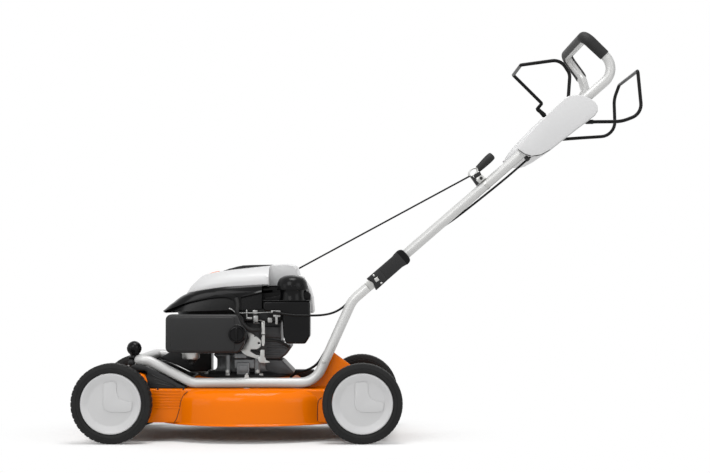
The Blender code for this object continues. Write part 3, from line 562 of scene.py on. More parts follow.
def build_wheels():
    """The four wheels, from one tyre an axle and one cap."""
    cap = build_cap()
    for end, x, steps, tread in (("front", FRONT_X, 168, 0.0982), ("rear", REAR_X, 240, 0.0988)):
        tyre = build_tyre(steps, tread)
        for side, hand in ((-1, "left"), (1, "right")):
            turn = across_machine(x, side * WHEEL_Y, AXLE_Z, side < 0)
            body = f"{end}_{hand}_wheel"
            piece = placed(copied(tyre, f"{end}_{hand}_tyre"), turn)
            finished(piece, TYRE, body, [f"tyre_{end}_{hand}"])
            piece = placed(copied(cap, f"{end}_{hand}_cap"), turn)
            finished(piece, CAP, body, [f"rim_{end}_{hand}"])
        bpy.data.objects.remove(tyre)
    bpy.data.objects.remove(cap)


# Deck

DECK_HALF = 0.182
HUMP_HALF = 0.15
HUMP_FOOT = 0.126
# The outside of the bowl, as (radius, height)
BOWL = [(0.242, 0.043), (0.2425, 0.0455), (0.24, 0.048), (0.24, 0.07), (0.24, 0.092), (0.2397, 0.102),
        (0.2385, 0.109), (0.2355, 0.116), (0.2305, 0.1225), (0.224, 0.1275), (0.216, 0.1308),
        (0.206, 0.1322), (0.18, 0.1325), (0.152, 0.1325), (0.149, 0.134), (0.1462, 0.1385), (0.1435, 0.144),
        (0.14, 0.149), (0.135, 0.1525), (0.126, 0.1545), (0.06, 0.155), (0.03, 0.155)]


def squared_back(piece):
    """Draws the rear quarters of the bowl out to the rear, and leaves its middle round."""
    for vertex in piece.data.vertices:
        if vertex.co.x > BLADE_X:
            factor = 1 + 0.22 * min(1.0, abs(vertex.co.y) / 0.16) ** 2
            vertex.co.x = BLADE_X + (vertex.co.x - BLADE_X) * factor
    return piece


def shell(piece, open_low):
    """Opens a closed body below a height and gives what is left the sheet's thickness, inwards."""
    editing(piece, "FACE", "DESELECT")
    bm = bmesh.from_edit_mesh(piece.data)
    for face in bm.faces:
        if face.normal.z < -0.9 and face.calc_center_median().z < open_low:
            face.select_set(True)
    bmesh.update_edit_mesh(piece.data)
    bpy.ops.mesh.delete(type="FACE")
    bpy.ops.object.mode_set(mode="OBJECT")
    return apply(piece, "sheet", "SOLIDIFY", thickness=SHEET, offset=-1)


def deck_bowl():
    """The round bowl over the blade, a sheet that is turned inside and out."""
    inner = [(radius - SHEET, height - SHEET * (height > 0.1)) for radius, height in BOWL[2:]]
    inner = [(0.239, 0.043)] + inner[:-1] + [(0.03, 0.152)]
    return squared_back(lathe("deck_bowl", BOWL + inner[::-1], 128, at(BLADE_X, 0), ring=True))


def chamber():
    """The room inside the bowl, as a tool to cut the other deck pieces with."""
    core = [(0.2385, 0.0), (0.2385, 0.108), (0.23, 0.121), (0.216, 0.1311), (0.1395, 0.1311), (0.131, 0.14),
            (0.1255, 0.1505)]
    return squared_back(lathe("chamber", core, 128, at(BLADE_X, 0)))


def deck_front():
    """The squared front with its slot for the height lever and the ribs on its sides."""
    front = [(-0.4, 0.047), (-0.4, 0.1325), (-0.537, 0.1325), (-0.539, 0.156), (-0.546, 0.167),
             (-0.558, 0.1715), (-0.568, 0.17), (-0.58, 0.163), (-0.605, 0.158), (-0.63, 0.147),
             (-0.652, 0.129), (-0.664, 0.106), (-0.668, 0.08), (-0.668, 0.047)]
    nose = slab("deck_front", front, -DECK_HALF, DECK_HALF, 0.006, 3, 50)
    carved(shell(nose, 0.06), chamber())
    carved(nose, boxed("lever_slot", (-0.642, -0.158, 0.12), (-0.576, -0.142, 0.2)))
    ribs = []
    for step in range(7):
        height = 0.083 + 0.0071 * step
        for side in (-1, 1):
            low, high = sorted((side * 0.1812, side * 0.1836))
            ribs.append(boxed("rib", (-0.524, low, height), (-0.454, high, height + 0.0032), 0.001, 2))
    return joined("deck_front", [nose, *ribs])


def deck_rear():
    """The squared part behind the bowl."""
    rear = [(-0.17, 0.0465), (0.068, 0.0465), (0.068, 0.1318), (-0.17, 0.1318)]
    tail = slab("deck_rear", rear, -DECK_HALF, DECK_HALF, 0.006, 3, 50)
    return carved(shell(tail, 0.06), chamber())


def deck_hump():
    """The hump over the rear axle, which slopes down to the right, and the foot in front of it."""
    hump = [(-0.118, HUMP_FOOT), (0.062, HUMP_FOOT), (0.055, 0.142), (0.015, 0.166), (-0.029, 0.192),
            (-0.072, 0.224), (-0.083, 0.222), (-0.098, 0.19), (-0.112, 0.156)]
    hood = slab("deck_hump", hump, -HUMP_HALF, HUMP_HALF, 0.006, 3, 25)
    carved(shell(hood, 0.13), chamber())
    for vertex in hood.data.vertices:
        above = vertex.co.z - HUMP_FOOT
        away = (vertex.co.y + HUMP_HALF) / (2 * HUMP_HALF)
        vertex.co.z -= min(0.022, max(0.0, above) * 0.6) * min(1.0, max(0.0, away))
    foot = [(-0.17, 0.1322), (-0.145, 0.139), (-0.122, 0.153), (-0.108, 0.168), (-0.098, 0.19),
            (-0.088, 0.19), (-0.088, 0.1322)]
    return joined("deck_hump", [hood, slab("hump_foot", foot, -0.1492, -0.13, 0.003, 2, 25)])


# Joint lines on the deck's sides, as (x, z)
FRONT_JOINT = [(-0.42809, 0.1343), (-0.43715, 0.12523), (-0.44622, 0.11666), (-0.45126, 0.10709),
               (-0.45428, 0.09651), (-0.45731, 0.0819), (-0.46083, 0.0688), (-0.46436, 0.05722),
               (-0.4694, 0.04966), (-0.47998, 0.04664)]
REAR_JOINT = [(-0.09962, 0.11011), (-0.10668, 0.10457), (-0.1097, 0.0955), (-0.11071, 0.07787),
              (-0.11071, 0.05268)]


def surface_of(piece):
    """A piece's faces, for rays to hit."""
    mesh = piece.data
    return BVHTree.FromPolygons([v.co for v in mesh.vertices], [p.vertices for p in mesh.polygons])


def drawn_on(skins, line, side):
    """A fine dark joint line laid on one side of the deck, from its (x, z) points."""
    trees = [surface_of(skin) for skin in skins]
    points = []
    for x, z in line:
        hits = [tree.ray_cast(Vector((x, side * 0.5, z)), Vector((0, -side, 0)))[0] for tree in trees]
        reach = max(abs(hit.y) for hit in hits if hit)
        points.append((x, side * reach, z))
    return piped("deck_seam", flowing(points, 0.004), 0.0009, 2)


def build_deck():
    """The orange deck in four skins, with the joint lines on its sides."""
    skins = [deck_bowl(), deck_front(), deck_rear(), deck_hump()]
    seams = [drawn_on(skins, line, side) for line in (FRONT_JOINT, REAR_JOINT) for side in (-1, 1)]
    for piece, nodes in zip(skins, (["deck"], [], [], [])):
        finished(piece, ORANGE, "chassis", nodes, 40)
    finished(joined("deck_seams", seams), GRAINED, "chassis")


def build_front_cover():
    """The black cover between the frame rails, its wings beside them and its clips on the deck."""
    outline = [(-0.559, 0.1335), (-0.603, 0.156), (-0.606, 0.1605), (-0.595, 0.1685), (-0.58, 0.1765),
               (-0.571, 0.181), (-0.56, 0.185), (-0.544, 0.187), (-0.535, 0.1865), (-0.4685, 0.156),
               (-0.443, 0.1525), (-0.443, 0.1335)]
    parts = [slab("rail_cover", outline, -0.14, 0.14, 0.003, 3)]
    wing = [(-0.57, 0.1335), (-0.569, 0.1605), (-0.543, 0.1628), (-0.539, 0.17), (-0.5405, 0.175),
            (-0.548, 0.1778), (-0.56, 0.1775), (-0.572, 0.1755), (-0.5795, 0.1775), (-0.58, 0.189),
            (-0.5735, 0.1925), (-0.556, 0.1935), (-0.547, 0.1905), (-0.538, 0.1855), (-0.515, 0.1745),
            (-0.485, 0.1595), (-0.465, 0.147), (-0.45, 0.1395), (-0.443, 0.137), (-0.443, 0.1335)]
    for low, high in ((-0.177, -0.138), (0.138, 0.177)):
        parts.append(slab("cover_wing", wing, low, high, 0.0025, 3))
    for step in range(3):
        drop = 0.0105 * step
        line = [(-0.528 + drop * 0.5, 0.168 - drop), (-0.466, 0.141 - drop * 0.2),
                (-0.466, 0.139 - drop * 0.2), (-0.528 + drop * 0.5, 0.1655 - drop)]
        parts.append(slab("cover_rib", line, -0.1785, 0.1785, 0.0006, 1))
    for x in (-0.5116, -0.4476):
        for side in (-1, 1):
            low, high = sorted((side * 0.179, side * 0.1832))
            parts.append(boxed("cover_clip", (x - 0.0018, low, 0.13), (x + 0.0018, high, 0.135), 0.0006))
    finished(joined("rail_cover", parts), GRAINED, "chassis", ["front_cover"])


# Tubes

def frame_corners():
    """The frame tube, from the fold down, round the front and back along the right side."""
    tip = on_handle(-0.03, 0)
    left = [(tip[0], -TUBE_Y, tip[1], 0), (-0.0234, -TUBE_Y, 0.3535, 0.07),
            (-0.1175, -TUBE_Y, 0.1465, 0.06)]
    rail = [(-0.427, -TUBE_Y, 0.1463, 0.05), (-0.536, -TUBE_Y, 0.202, 0.03)]
    hoop = [(-0.563, -TUBE_Y, 0.2035, 0.026), (-0.563, TUBE_Y, 0.2035, 0.026)]
    return left + rail + hoop + mirrored(rail) + [(-0.15, TUBE_Y, 0.1465, 0)]


def handle_corners():
    """The handlebar tube, from the fold up and round its loop to the console."""
    start, bend = on_handle(0.0305, 0), on_handle(0.8151, 0)
    return [(start[0], -TUBE_Y, start[1], 0), (bend[0], -TUBE_Y, bend[1], 0.045),
            (0.567, -TUBE_Y, 1.0245, 0.022), (0.567, TUBE_Y, 1.0245, 0.022), (0.6095, 0.148, 0.96, 0.05),
            (0.611, 0.1, 0.918, 0.05), (0.556, 0.03, 0.836, 0)]


def build_tubes():
    """The frame tube, the handlebar tube and the front axle."""
    rail = piped("frame_rail", bent(frame_corners(), 14), TUBE_RADIUS, 10)
    finished(rail, TUBE, "chassis", ["frame_tube"])
    bar = piped("handlebar", bent(handle_corners(), 14), TUBE_RADIUS, 10)
    # The handlebar tube takes the darker copy of the tube paint, as painted shade.
    finished(bar, SHADED_BAR, "handle", ["handle_tube"])
    half = [(FRONT_X, 0.236, AXLE_Z, 0), (FRONT_X, 0.202, AXLE_Z, 0.008), (-0.58, 0.192, 0.118, 0.008)]
    axle = piped("front_axle_rod", bent(half + mirrored(half), 6), 0.007, 6)
    finished(axle, DULL, "front_carriage", ["front_axle"])


SLEEVE_OUTER = 0.015
SLEEVE_INNER = 0.0128
SLIT_HALF_ANGLE = 52


def build_grip():
    """The soft sleeve over the loop of the handlebar, with a slit along the inside of the loop."""
    corners = handle_corners()
    low_end = Vector(corners[1][:3]).lerp(Vector(corners[2][:3]), 0.42)
    route = bent([(*low_end, 0), *corners[2:6]], 14)[:-8]
    near, cross, far = Vector((0, 1, 0)), Vector((0.36, 0, -0.93)), Vector((-0.1, -1, 0))
    rings, passed = [], 0.0
    for index, point in enumerate(route):
        heading = (route[min(index + 1, len(route) - 1)] - route[max(index - 1, 0)]).normalized()
        passed = max(passed, min(1.0, (point.y - 0.143) / 0.022))
        begun = min(1.0, max(0.0, (point.y + TUBE_Y) / 0.022))
        side = near.lerp(cross, begun).lerp(far, passed)
        side = (side - heading * side.dot(heading)).normalized()
        other = heading.cross(side)
        taper = 0.0008 if index in (0, len(route) - 1) else 0.0
        rings.append(sleeve_ring(point, side, other, SLEEVE_OUTER - taper))
    finished(lofted("grip_sleeve", rings), SOFT, "handle", ["hand_grip"], 50)


def sleeve_ring(middle, side, other, radius):
    """The section of the grip: a sleeve with a slit towards one side."""
    ring = []
    for reach, steps in ((radius, range(25)), (SLEEVE_INNER, range(24, -1, -1))):
        for step in steps:
            turn = radians(SLIT_HALF_ANGLE + (360 - 2 * SLIT_HALF_ANGLE) * step / 24)
            ring.append(middle + side * (reach * cos(turn)) + other * (reach * sin(turn)))
    return ring


# Fold, rope guide and starter grip

def handle_slab(name, points, half, edge, rows=2, angle=35):
    """A slab in the middle of the handlebar tube, from an outline along and across the tube."""
    return slab(name, handle_outline(points), -TUBE_Y - half, -TUBE_Y + half, edge, rows, angle)


def build_fold():
    """The flat end of the frame tube, and the clamp on it with its collar, bolt and pins."""
    tongue = [(-0.0335, -0.012), (0.0, -0.014), (0.01, -0.01), (0.014, 0.0), (0.01, 0.01), (0.0, 0.014),
              (-0.0335, 0.012)]
    piece = handle_slab("tongue_plate", tongue, 0.0065, 0.001)
    finished(piece, BRIGHT, "chassis", ["fold_tongue"])
    body = [(-0.0195, -0.02), (0.02, -0.019), (0.07, -0.0188), (0.078, -0.0205), (0.084, -0.0218),
            (0.0925, -0.02), (0.0972, -0.015), (0.0982, 0.0), (0.0972, 0.014), (0.0915, 0.0185),
            (0.082, 0.0203), (0.074, 0.0195), (0.068, 0.018), (-0.019, 0.0182), (-0.012, 0.0)]
    clamp = handle_slab("clamp_body", body, 0.0188, 0.0055, 4, 30)
    fork = handle_outline([(-0.05, -0.05), (0.024, -0.05), (0.024, 0.05), (-0.05, 0.05)])
    carved(clamp, sketched("fork", fork, -TUBE_Y - 0.0072, -TUBE_Y + 0.0072))
    cheek = [(-0.015, -0.016), (0.018, -0.016), (0.0215, -0.008), (0.0215, 0.0145), (-0.014, 0.0145),
             (-0.009, 0.0)]
    plate = slab("cheek", handle_outline(cheek), -TUBE_Y - 0.0205, -TUBE_Y - 0.017, 0.0008)
    clamp = joined("clamp_body", [clamp, plate])
    finished(clamp, GRAINED, "handle", ["fold_clamp"])
    collar = [(0.0815, -0.0228), (0.0935, -0.0212), (0.0984, -0.0152), (0.0992, 0.0), (0.0984, 0.0142),
              (0.0925, 0.0196), (0.0815, 0.0212)]
    band = handle_slab("clamp_collar", collar, 0.0196, 0.005, 4, 30)
    finished(band, GLOSS, "handle")
    head = softened(boxed("fold_bolt_head", (-0.0052, -0.0052, 0), (0.0052, 0.0052, 0.0042)), 0.0012, 3)
    placed(head, across_machine(FOLD[0], -TUBE_Y - 0.0203, FOLD[1]) @ Matrix.Rotation(0.6, 4, "Z"))
    pin = lathe("clamp_bolt", [(0.0042, -0.043), (0.0042, 0.0)], 16,
                across_machine(FOLD[0], -TUBE_Y - 0.021, FOLD[1]))
    nut = lathe("fold_nut", [(0.0068, 0), (0.0072, 0.0008), (0.0072, 0.003), (0.006, 0.0036)], 6,
                across_machine(FOLD[0], -TUBE_Y + 0.019, FOLD[1], False))
    finished(joined("clamp_bolt", [head, pin, nut]), BRIGHT, "handle", ["fold_bolt"])
    pins = []
    for along, across in ((0.001, 0.0125), (0.003, -0.0145)):
        x, z = on_handle(along, across)
        pins.append(lathe("pin", [(0.0027, 0), (0.0027, 0.0026), (0.0017, 0.0034)], 12,
                          across_machine(x, -TUBE_Y - 0.02, z)))
    finished(joined("fold_pins", pins), BRIGHT, "handle")


EYE_ALONG = 0.363
EYE_ACROSS = 0.0455
EYE_REACH = 0.0128
EYE_HALF = 0.0082
EYE_WIRE = 0.0017


def build_starter():
    """The rope guide on the handlebar and the grip that rests in it."""
    foot = [(0.3555, 0.0127), (0.3775, 0.0127), (0.3745, 0.027), (0.36, 0.03), (0.3535, 0.024)]
    base = handle_slab("guide_plate", foot, 0.01, 0.0014)
    turns = [pi * step / 16 for step in range(33)]
    eye = [on_handle(EYE_ALONG + EYE_REACH * cos(t), EYE_ACROSS + 0.0074 * sin(t)) for t in turns]
    wires = [piped("guide_eye", [(x, -TUBE_Y + side, z) for x, z in eye], EYE_WIRE, 4)
             for side in (-EYE_HALF, EYE_HALF)]
    for along in (EYE_ALONG - EYE_REACH, EYE_ALONG + EYE_REACH):
        x, z = on_handle(along, EYE_ACROSS)
        bar = [(x, -TUBE_Y + side, z) for side in (-EYE_HALF, 0.0, EYE_HALF)]
        wires.append(piped("guide_bar", bar, EYE_WIRE, 4))
    section = [(0.0134, -0.004), (0.0134, 0.004), (0.0126, 0.004), (0.0126, -0.004)]
    x, z = on_handle(0.366, 0)
    round_tube = at(x, -TUBE_Y, z) @ Matrix.Rotation(pi / 2 - HANDLE_ANGLE, 4, "Y")
    band = lathe("guide_band", section, 40, round_tube, ring=True)
    finished(joined("guide_plate", [base, band, *wires]), BRIGHT, "handle", ["rope_guide"])
    side = [(0.347, 0.0128), (0.354, 0.0128), (0.356, 0.03), (0.353, 0.044), (0.35, 0.044)]
    low = [(0.356, 0.029), (0.374, 0.0262), (0.3762, 0.036), (0.359, 0.0395)]
    holders = [handle_slab("guide_holder", side, 0.0088, 0.001),
               handle_slab("guide_block", low, 0.0108, 0.001)]
    x, z = on_handle(0.3672, 0.0205)
    holders.append(lathe("guide_screw", [(0.0042, 0), (0.0042, 0.0016), (0.0028, 0.0026)], 16,
                         across_machine(x, -TUBE_Y - 0.01, z)))
    finished(joined("guide_holder", holders), GRAINED, "handle")
    x, z = on_handle(0.3756, 0.0428)
    lean = at(x, -TUBE_Y, z) @ Matrix.Rotation(pi / 2 - HANDLE_ANGLE - radians(3), 4, "Y")
    outline = [(0.0062, 0.0), (0.008, 0.0007), (0.0087, 0.004), (0.0095, 0.014), (0.0104, 0.026),
               (0.0109, 0.037), (0.0107, 0.045), (0.0102, 0.0495), (0.009, 0.0523), (0.0066, 0.0535)]
    finished(lathe("pull_grip", outline, 36, lean), SOFT, "starter", ["starter_grip"])


# Console

# The housing's section, as (x, z), and where the bails pass through it
CONSOLE = [(0.394, 0.735), (0.411, 0.7235), (0.429, 0.718), (0.452, 0.7215), (0.475, 0.734),
           (0.506, 0.7585), (0.538, 0.7835), (0.568, 0.806), (0.588, 0.8215), (0.5955, 0.833),
           (0.595, 0.845), (0.587, 0.856), (0.576, 0.8635), (0.563, 0.869), (0.548, 0.8722),
           (0.535, 0.8718), (0.522, 0.869), (0.51, 0.862), (0.487, 0.84), (0.462, 0.816), (0.443, 0.7965),
           (0.424, 0.776), (0.405, 0.752)]
STOP_SIDES = (-0.12, 0.066)
DRIVE_SIDES = (-0.14, 0.12)


def build_console():
    """The housing with its slots for both bails, the plates on its ends, thin black lines of painted shade
    along their lower edges, and the clip.
    """
    inner = [(x + 0.0012, z - 0.0018) for x, z in CONSOLE]
    body = slab("console_shell", inner, -0.1855, 0.1855, 0.003, 2, 60)
    for y, end in zip(STOP_SIDES, (0.605, 0.57)):
        carved(body, boxed("stop_slot", (0.484, y - 0.006, 0.822), (end, y + 0.006, 0.9)))
    for y in DRIVE_SIDES:
        carved(body, boxed("drive_slot", (0.514, y - 0.006, 0.7), (0.62, y + 0.006, 0.85)))
    # The body takes the darker copy of the moulding, as painted shade between the end plates.
    finished(body, PANEL_SHADED, "handle", ["console"], 40)
    parts = []
    for low, high in ((-0.19, -0.185), (0.185, 0.19)):
        parts.append(slab("cheek_plate", CONSOLE, low, high, 0.0022, 3, 60))
    finished(joined("console_cheeks", parts), PANEL, "handle", (), 40)
    # Thin black rods along the lower edge of each end plate: painted shade where the rim turns down and
    # away from the light.
    shade_lines = []
    for y in (-0.1868, 0.1868):
        edge = flowing([(x + 0.0003, y, z + 0.0002) for x, z in CONSOLE[:5]], 0.004)
        shade_lines.append(piped("console_shade_line", edge, 0.0013, 4))
    finished(joined("console_shade_lines", shade_lines), GRAINED, "handle")
    clip = [(0.484, -0.025), (0.493, -0.025), (0.493, -0.01), (0.484, -0.01)]
    finished(handle_slab("cable_clip", clip, 0.006, 0.0015), GRAINED, "handle")


# Bails and cables

BAIL_RADIUS = 0.0045


def build_bails():
    """The upper bail, which stops the engine, and the lower one, which drives the wheels."""
    left, right = STOP_SIDES
    x, z = 0.522, 0.828
    near = [(x, left, z, 0), (0.531, left, 0.866, 0.03), (0.536, left, 0.935, 0.03),
            (0.512, left, 0.972, 0.034), (0.41, left, 0.958, 0.004)]
    far = [(0.41, 0.06, 0.958, 0.004), (0.487, 0.06, 0.881, 0.004), (0.474, right, 0.866, 0.004),
           (x, right, z, 0)]
    wire = piped("engine_bail_wire", bent(near + far, 8), BAIL_RADIUS, 7)
    flat = [(0.47, 0.868), (0.478, 0.8715), (0.499, 0.854), (0.495, 0.845), (0.49, 0.844)]
    wire = joined("engine_bail_wire", [wire, slab("bail_flat", flat, 0.0632, 0.0688, 0.001, 2)])
    finished(wire, WIRE, "stop_bail", ["engine_bail"])
    left, right = DRIVE_SIDES
    x, z = 0.52, 0.788
    near = [(x, left, z, 0), (0.56, left, 0.809, 0.01), (0.664, left, 0.81, 0.095),
            (0.7166, left, 0.83, 0.044), (0.7065, left, 0.94, 0.006)]
    far = [(0.7065, right, 0.939, 0.006), (0.692, right, 0.9, 0.08), (0.695, right, 0.8, 0.04),
           (0.6, right, 0.794, 0.03), (x, right, z, 0)]
    wire = piped("drive_bail_wire", bent(near + far, 8), BAIL_RADIUS, 7)
    boss = [(0.573, left, 0.8091), (0.5745, left, 0.8091), (0.592, left, 0.8093)]
    boss = piped("bail_boss", boss, 0.0057, 6)
    finished(joined("drive_bail_wire", [wire, boss]), WIRE, "drive_lever", ["drive_bail"])


def engine_cable_line():
    """From the engine's rear past the fold and up behind the handlebar."""
    knots = [(-0.224, -0.168, 0.325), (-0.19, -0.169, 0.319), (-0.157, -0.17, 0.316),
             (-0.092, -0.166, 0.318), (-0.052, -0.147, 0.333), (-0.015, -0.142, 0.368),
             (0.038, -0.137, 0.4067)]
    for along, across, y in ((0.112, -0.009, -0.139), (0.15, -0.008, -0.143), (0.2, -0.008, -0.146),
                             (0.26, -0.014, -0.156), (0.34, -0.018, -0.165), (0.42, -0.0205, -0.165),
                             (0.5, -0.0205, -0.165)):
        x, z = on_handle(along, across)
        knots.append((x, y, z))
    return flowing(knots, 0.006)


def drive_cable_line():
    """From the gearbox up beside the riser and along the handlebar."""
    knots = [(-0.19, -0.096, 0.136), (-0.178, -0.104, 0.16), (-0.16, -0.118, 0.169),
             (-0.133, -0.138, 0.179), (-0.11, -0.148, 0.196), (-0.089, -0.149, 0.23),
             (-0.069, -0.147, 0.26), (-0.052, -0.142, 0.295), (-0.036, -0.133, 0.326), (0.0, -0.13, 0.374),
             (0.045, -0.129, 0.413)]
    for along, y in ((0.1, -0.13), (0.15, -0.144), (0.23, -0.146), (0.31, -0.146), (0.39, -0.146),
                     (0.47, -0.146)):
        x, z = on_handle(along, 0)
        knots.append((x, y, z))
    return flowing(knots, 0.006)


ENGINE_CABLE_RADIUS = 0.0028
DRIVE_CABLE_RADIUS = 0.0033
ROPE_RADIUS = 0.0022
ROPE_START = (-0.163, -0.03, 0.4362)


def bending(cord, node):
    """Paints a cord that bends between two places when the handlebar folds."""
    cord.data.materials.append(WIRE)
    bpy.ops.object.shade_smooth_by_angle(angle=radians(40))
    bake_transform(cord)
    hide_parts(node)


def build_cables():
    """Both cables and the starter rope."""
    cable = piped("engine_cable_run", engine_cable_line(), ENGINE_CABLE_RADIUS)
    bending(cable, "engine_cable")
    cable = piped("drive_cable_run", drive_cable_line(), DRIVE_CABLE_RADIUS)
    bending(cable, "drive_cable")
    x, z = on_handle(0.35, 0.0432)
    start, end = Vector(ROPE_START), Vector((x, -TUBE_Y, z))
    rope = piped("pull_rope", [start.lerp(end, step / 60) for step in range(61)], ROPE_RADIUS, 4)
    bending(rope, "starter_rope")


# Height lever

LEVER_Y = -0.15


def build_lever():
    """The cutting-height lever and its ribbed ball knob."""
    stem = [(-0.592, LEVER_Y, 0.1183, 0), (-0.59, LEVER_Y, 0.165, 0.03), (-0.5765, LEVER_Y, 0.218, 0)]
    boss = [(0.007, -0.0075), (0.0086, -0.006), (0.0086, 0.006), (0.007, 0.0075), (0.004, 0.0085)]
    parts = [piped("lever_stem", bent(stem, 8), 0.0042, 5),
             lathe("lever_boss", boss, 28, across_machine(-0.5825, LEVER_Y, 0.196))]
    finished(joined("lever_stem", parts), GRAINED, "front_carriage", ["height_lever"])
    outline = [(0.0085, -0.025), (0.0105, -0.0235), (0.0095, -0.019), (0.012, -0.0138), (0.0152, -0.01),
               (0.0172, -0.0055), (0.0181, 0.0), (0.0177, 0.0045), (0.0162, 0.0085), (0.0137, 0.012),
               (0.01, 0.0152), (0.0055, 0.0173), (0.001, 0.0181)]
    spot = at(-0.576, LEVER_Y, 0.233)
    parts = [lathe("lever_knob", outline, 48, spot)]
    turns = [radians(-52 + 6 * step) for step in range(11)]
    edge = [(0.0188 * cos(t), 0.0188 * sin(t)) for t in turns]
    edge += [(0.0165 * cos(t), 0.0165 * sin(t)) for t in turns[::-1]]
    for step in range(20):
        turn = spot @ Matrix.Rotation(2 * pi * step / 20, 4, "Z")
        parts.append(placed(slab("knob_rib", edge, -0.0009, 0.0009, 0.0004, 1, 60), turn))
    low, high = (-0.59, LEVER_Y - 0.007, 0.205), (-0.566, LEVER_Y + 0.007, 0.212)
    parts.append(boxed("knob_foot", low, high, 0.002, 3))
    finished(joined("lever_knob", parts), GLOSS, "front_carriage", ["height_knob"])


# Engine

RING_POWER = 0.34
RING_STEPS = 72


def cowl_ring(front, rear, half, height, slope, curve=0.0):
    """One rounded plan ring whose height rises to the rear in a flat curve."""
    middle, reach = (front + rear) / 2, (rear - front) / 2
    ring = []
    for step in range(RING_STEPS):
        turn = 2 * pi * (step + 0.5) / RING_STEPS
        c, s = cos(turn), sin(turn)
        x = middle + reach * (abs(c) ** RING_POWER) * (1 if c > 0 else -1)
        y = half * (abs(s) ** RING_POWER) * (1 if s > 0 else -1)
        away = x - BLADE_X
        ring.append(Vector((x, y, height + slope * away - curve * away * away)))
    return ring


# Front, rear, half width, height, slope and curve of each ring, from the lowest up
HOUSING = [(-0.506, -0.15, 0.134, 0.3265, 0.03), (-0.5125, -0.1465, 0.139, 0.329, 0.03),
           (-0.513, -0.146, 0.14, 0.3325, 0.034), (-0.5075, -0.1455, 0.1402, 0.338, 0.036),
           (-0.496, -0.145, 0.14, 0.3551, 0.05, 0.1), (-0.487, -0.145, 0.1396, 0.365, 0.056, 0.2),
           (-0.479, -0.145, 0.1388, 0.3745, 0.06, 0.3), (-0.471, -0.1455, 0.1372, 0.382, 0.062, 0.38),
           (-0.462, -0.1465, 0.1345, 0.388, 0.064, 0.45), (-0.453, -0.148, 0.1315, 0.3915, 0.065, 0.5)]
COVER = [(-0.453, -0.144, 0.13, 0.3921, 0.065, 0.5), (-0.4515, -0.1445, 0.1312, 0.3945, 0.065, 0.5),
         (-0.445, -0.148, 0.1308, 0.403, 0.073, 0.4), (-0.438, -0.152, 0.13, 0.4105, 0.08, 0.35),
         (-0.429, -0.157, 0.119, 0.423, 0.062, 0.8), (-0.421, -0.161, 0.1075, 0.4325, 0.05, 1.1),
         (-0.414, -0.165, 0.101, 0.4343, 0.08, 0.7), (-0.405, -0.17, 0.09, 0.4352, 0.105, 0.35),
         (-0.38, -0.185, 0.07, 0.4365, 0.115, 0.15), (-0.35, -0.205, 0.045, 0.4368, 0.115, 0.03),
         (-0.32, -0.25, 0.015, 0.437, 0.115, 0.0)]


def arch(low):
    """The line of the hood's lower edge over the recessed front panel, closed at a height."""
    line = [(-0.504, 0.3262), (-0.4749, 0.3367), (-0.4469, 0.3469), (-0.4112, 0.3545), (-0.3858, 0.3592),
            (-0.3603, 0.3617), (-0.342, 0.361), (-0.331, 0.357), (-0.3235, 0.3494), (-0.3185, 0.3367),
            (-0.3165, low)]
    smooth = [(p.x, p.z) for p in flowing([(x, 0, z) for x, z in line], 0.006)]
    return smooth + [(-0.504, low)]


def inset(section, depth):
    """A ring's measures with its plan drawn in by a depth."""
    front, rear, half, *rest = section
    return (front + depth, rear - depth, half - depth, *rest)


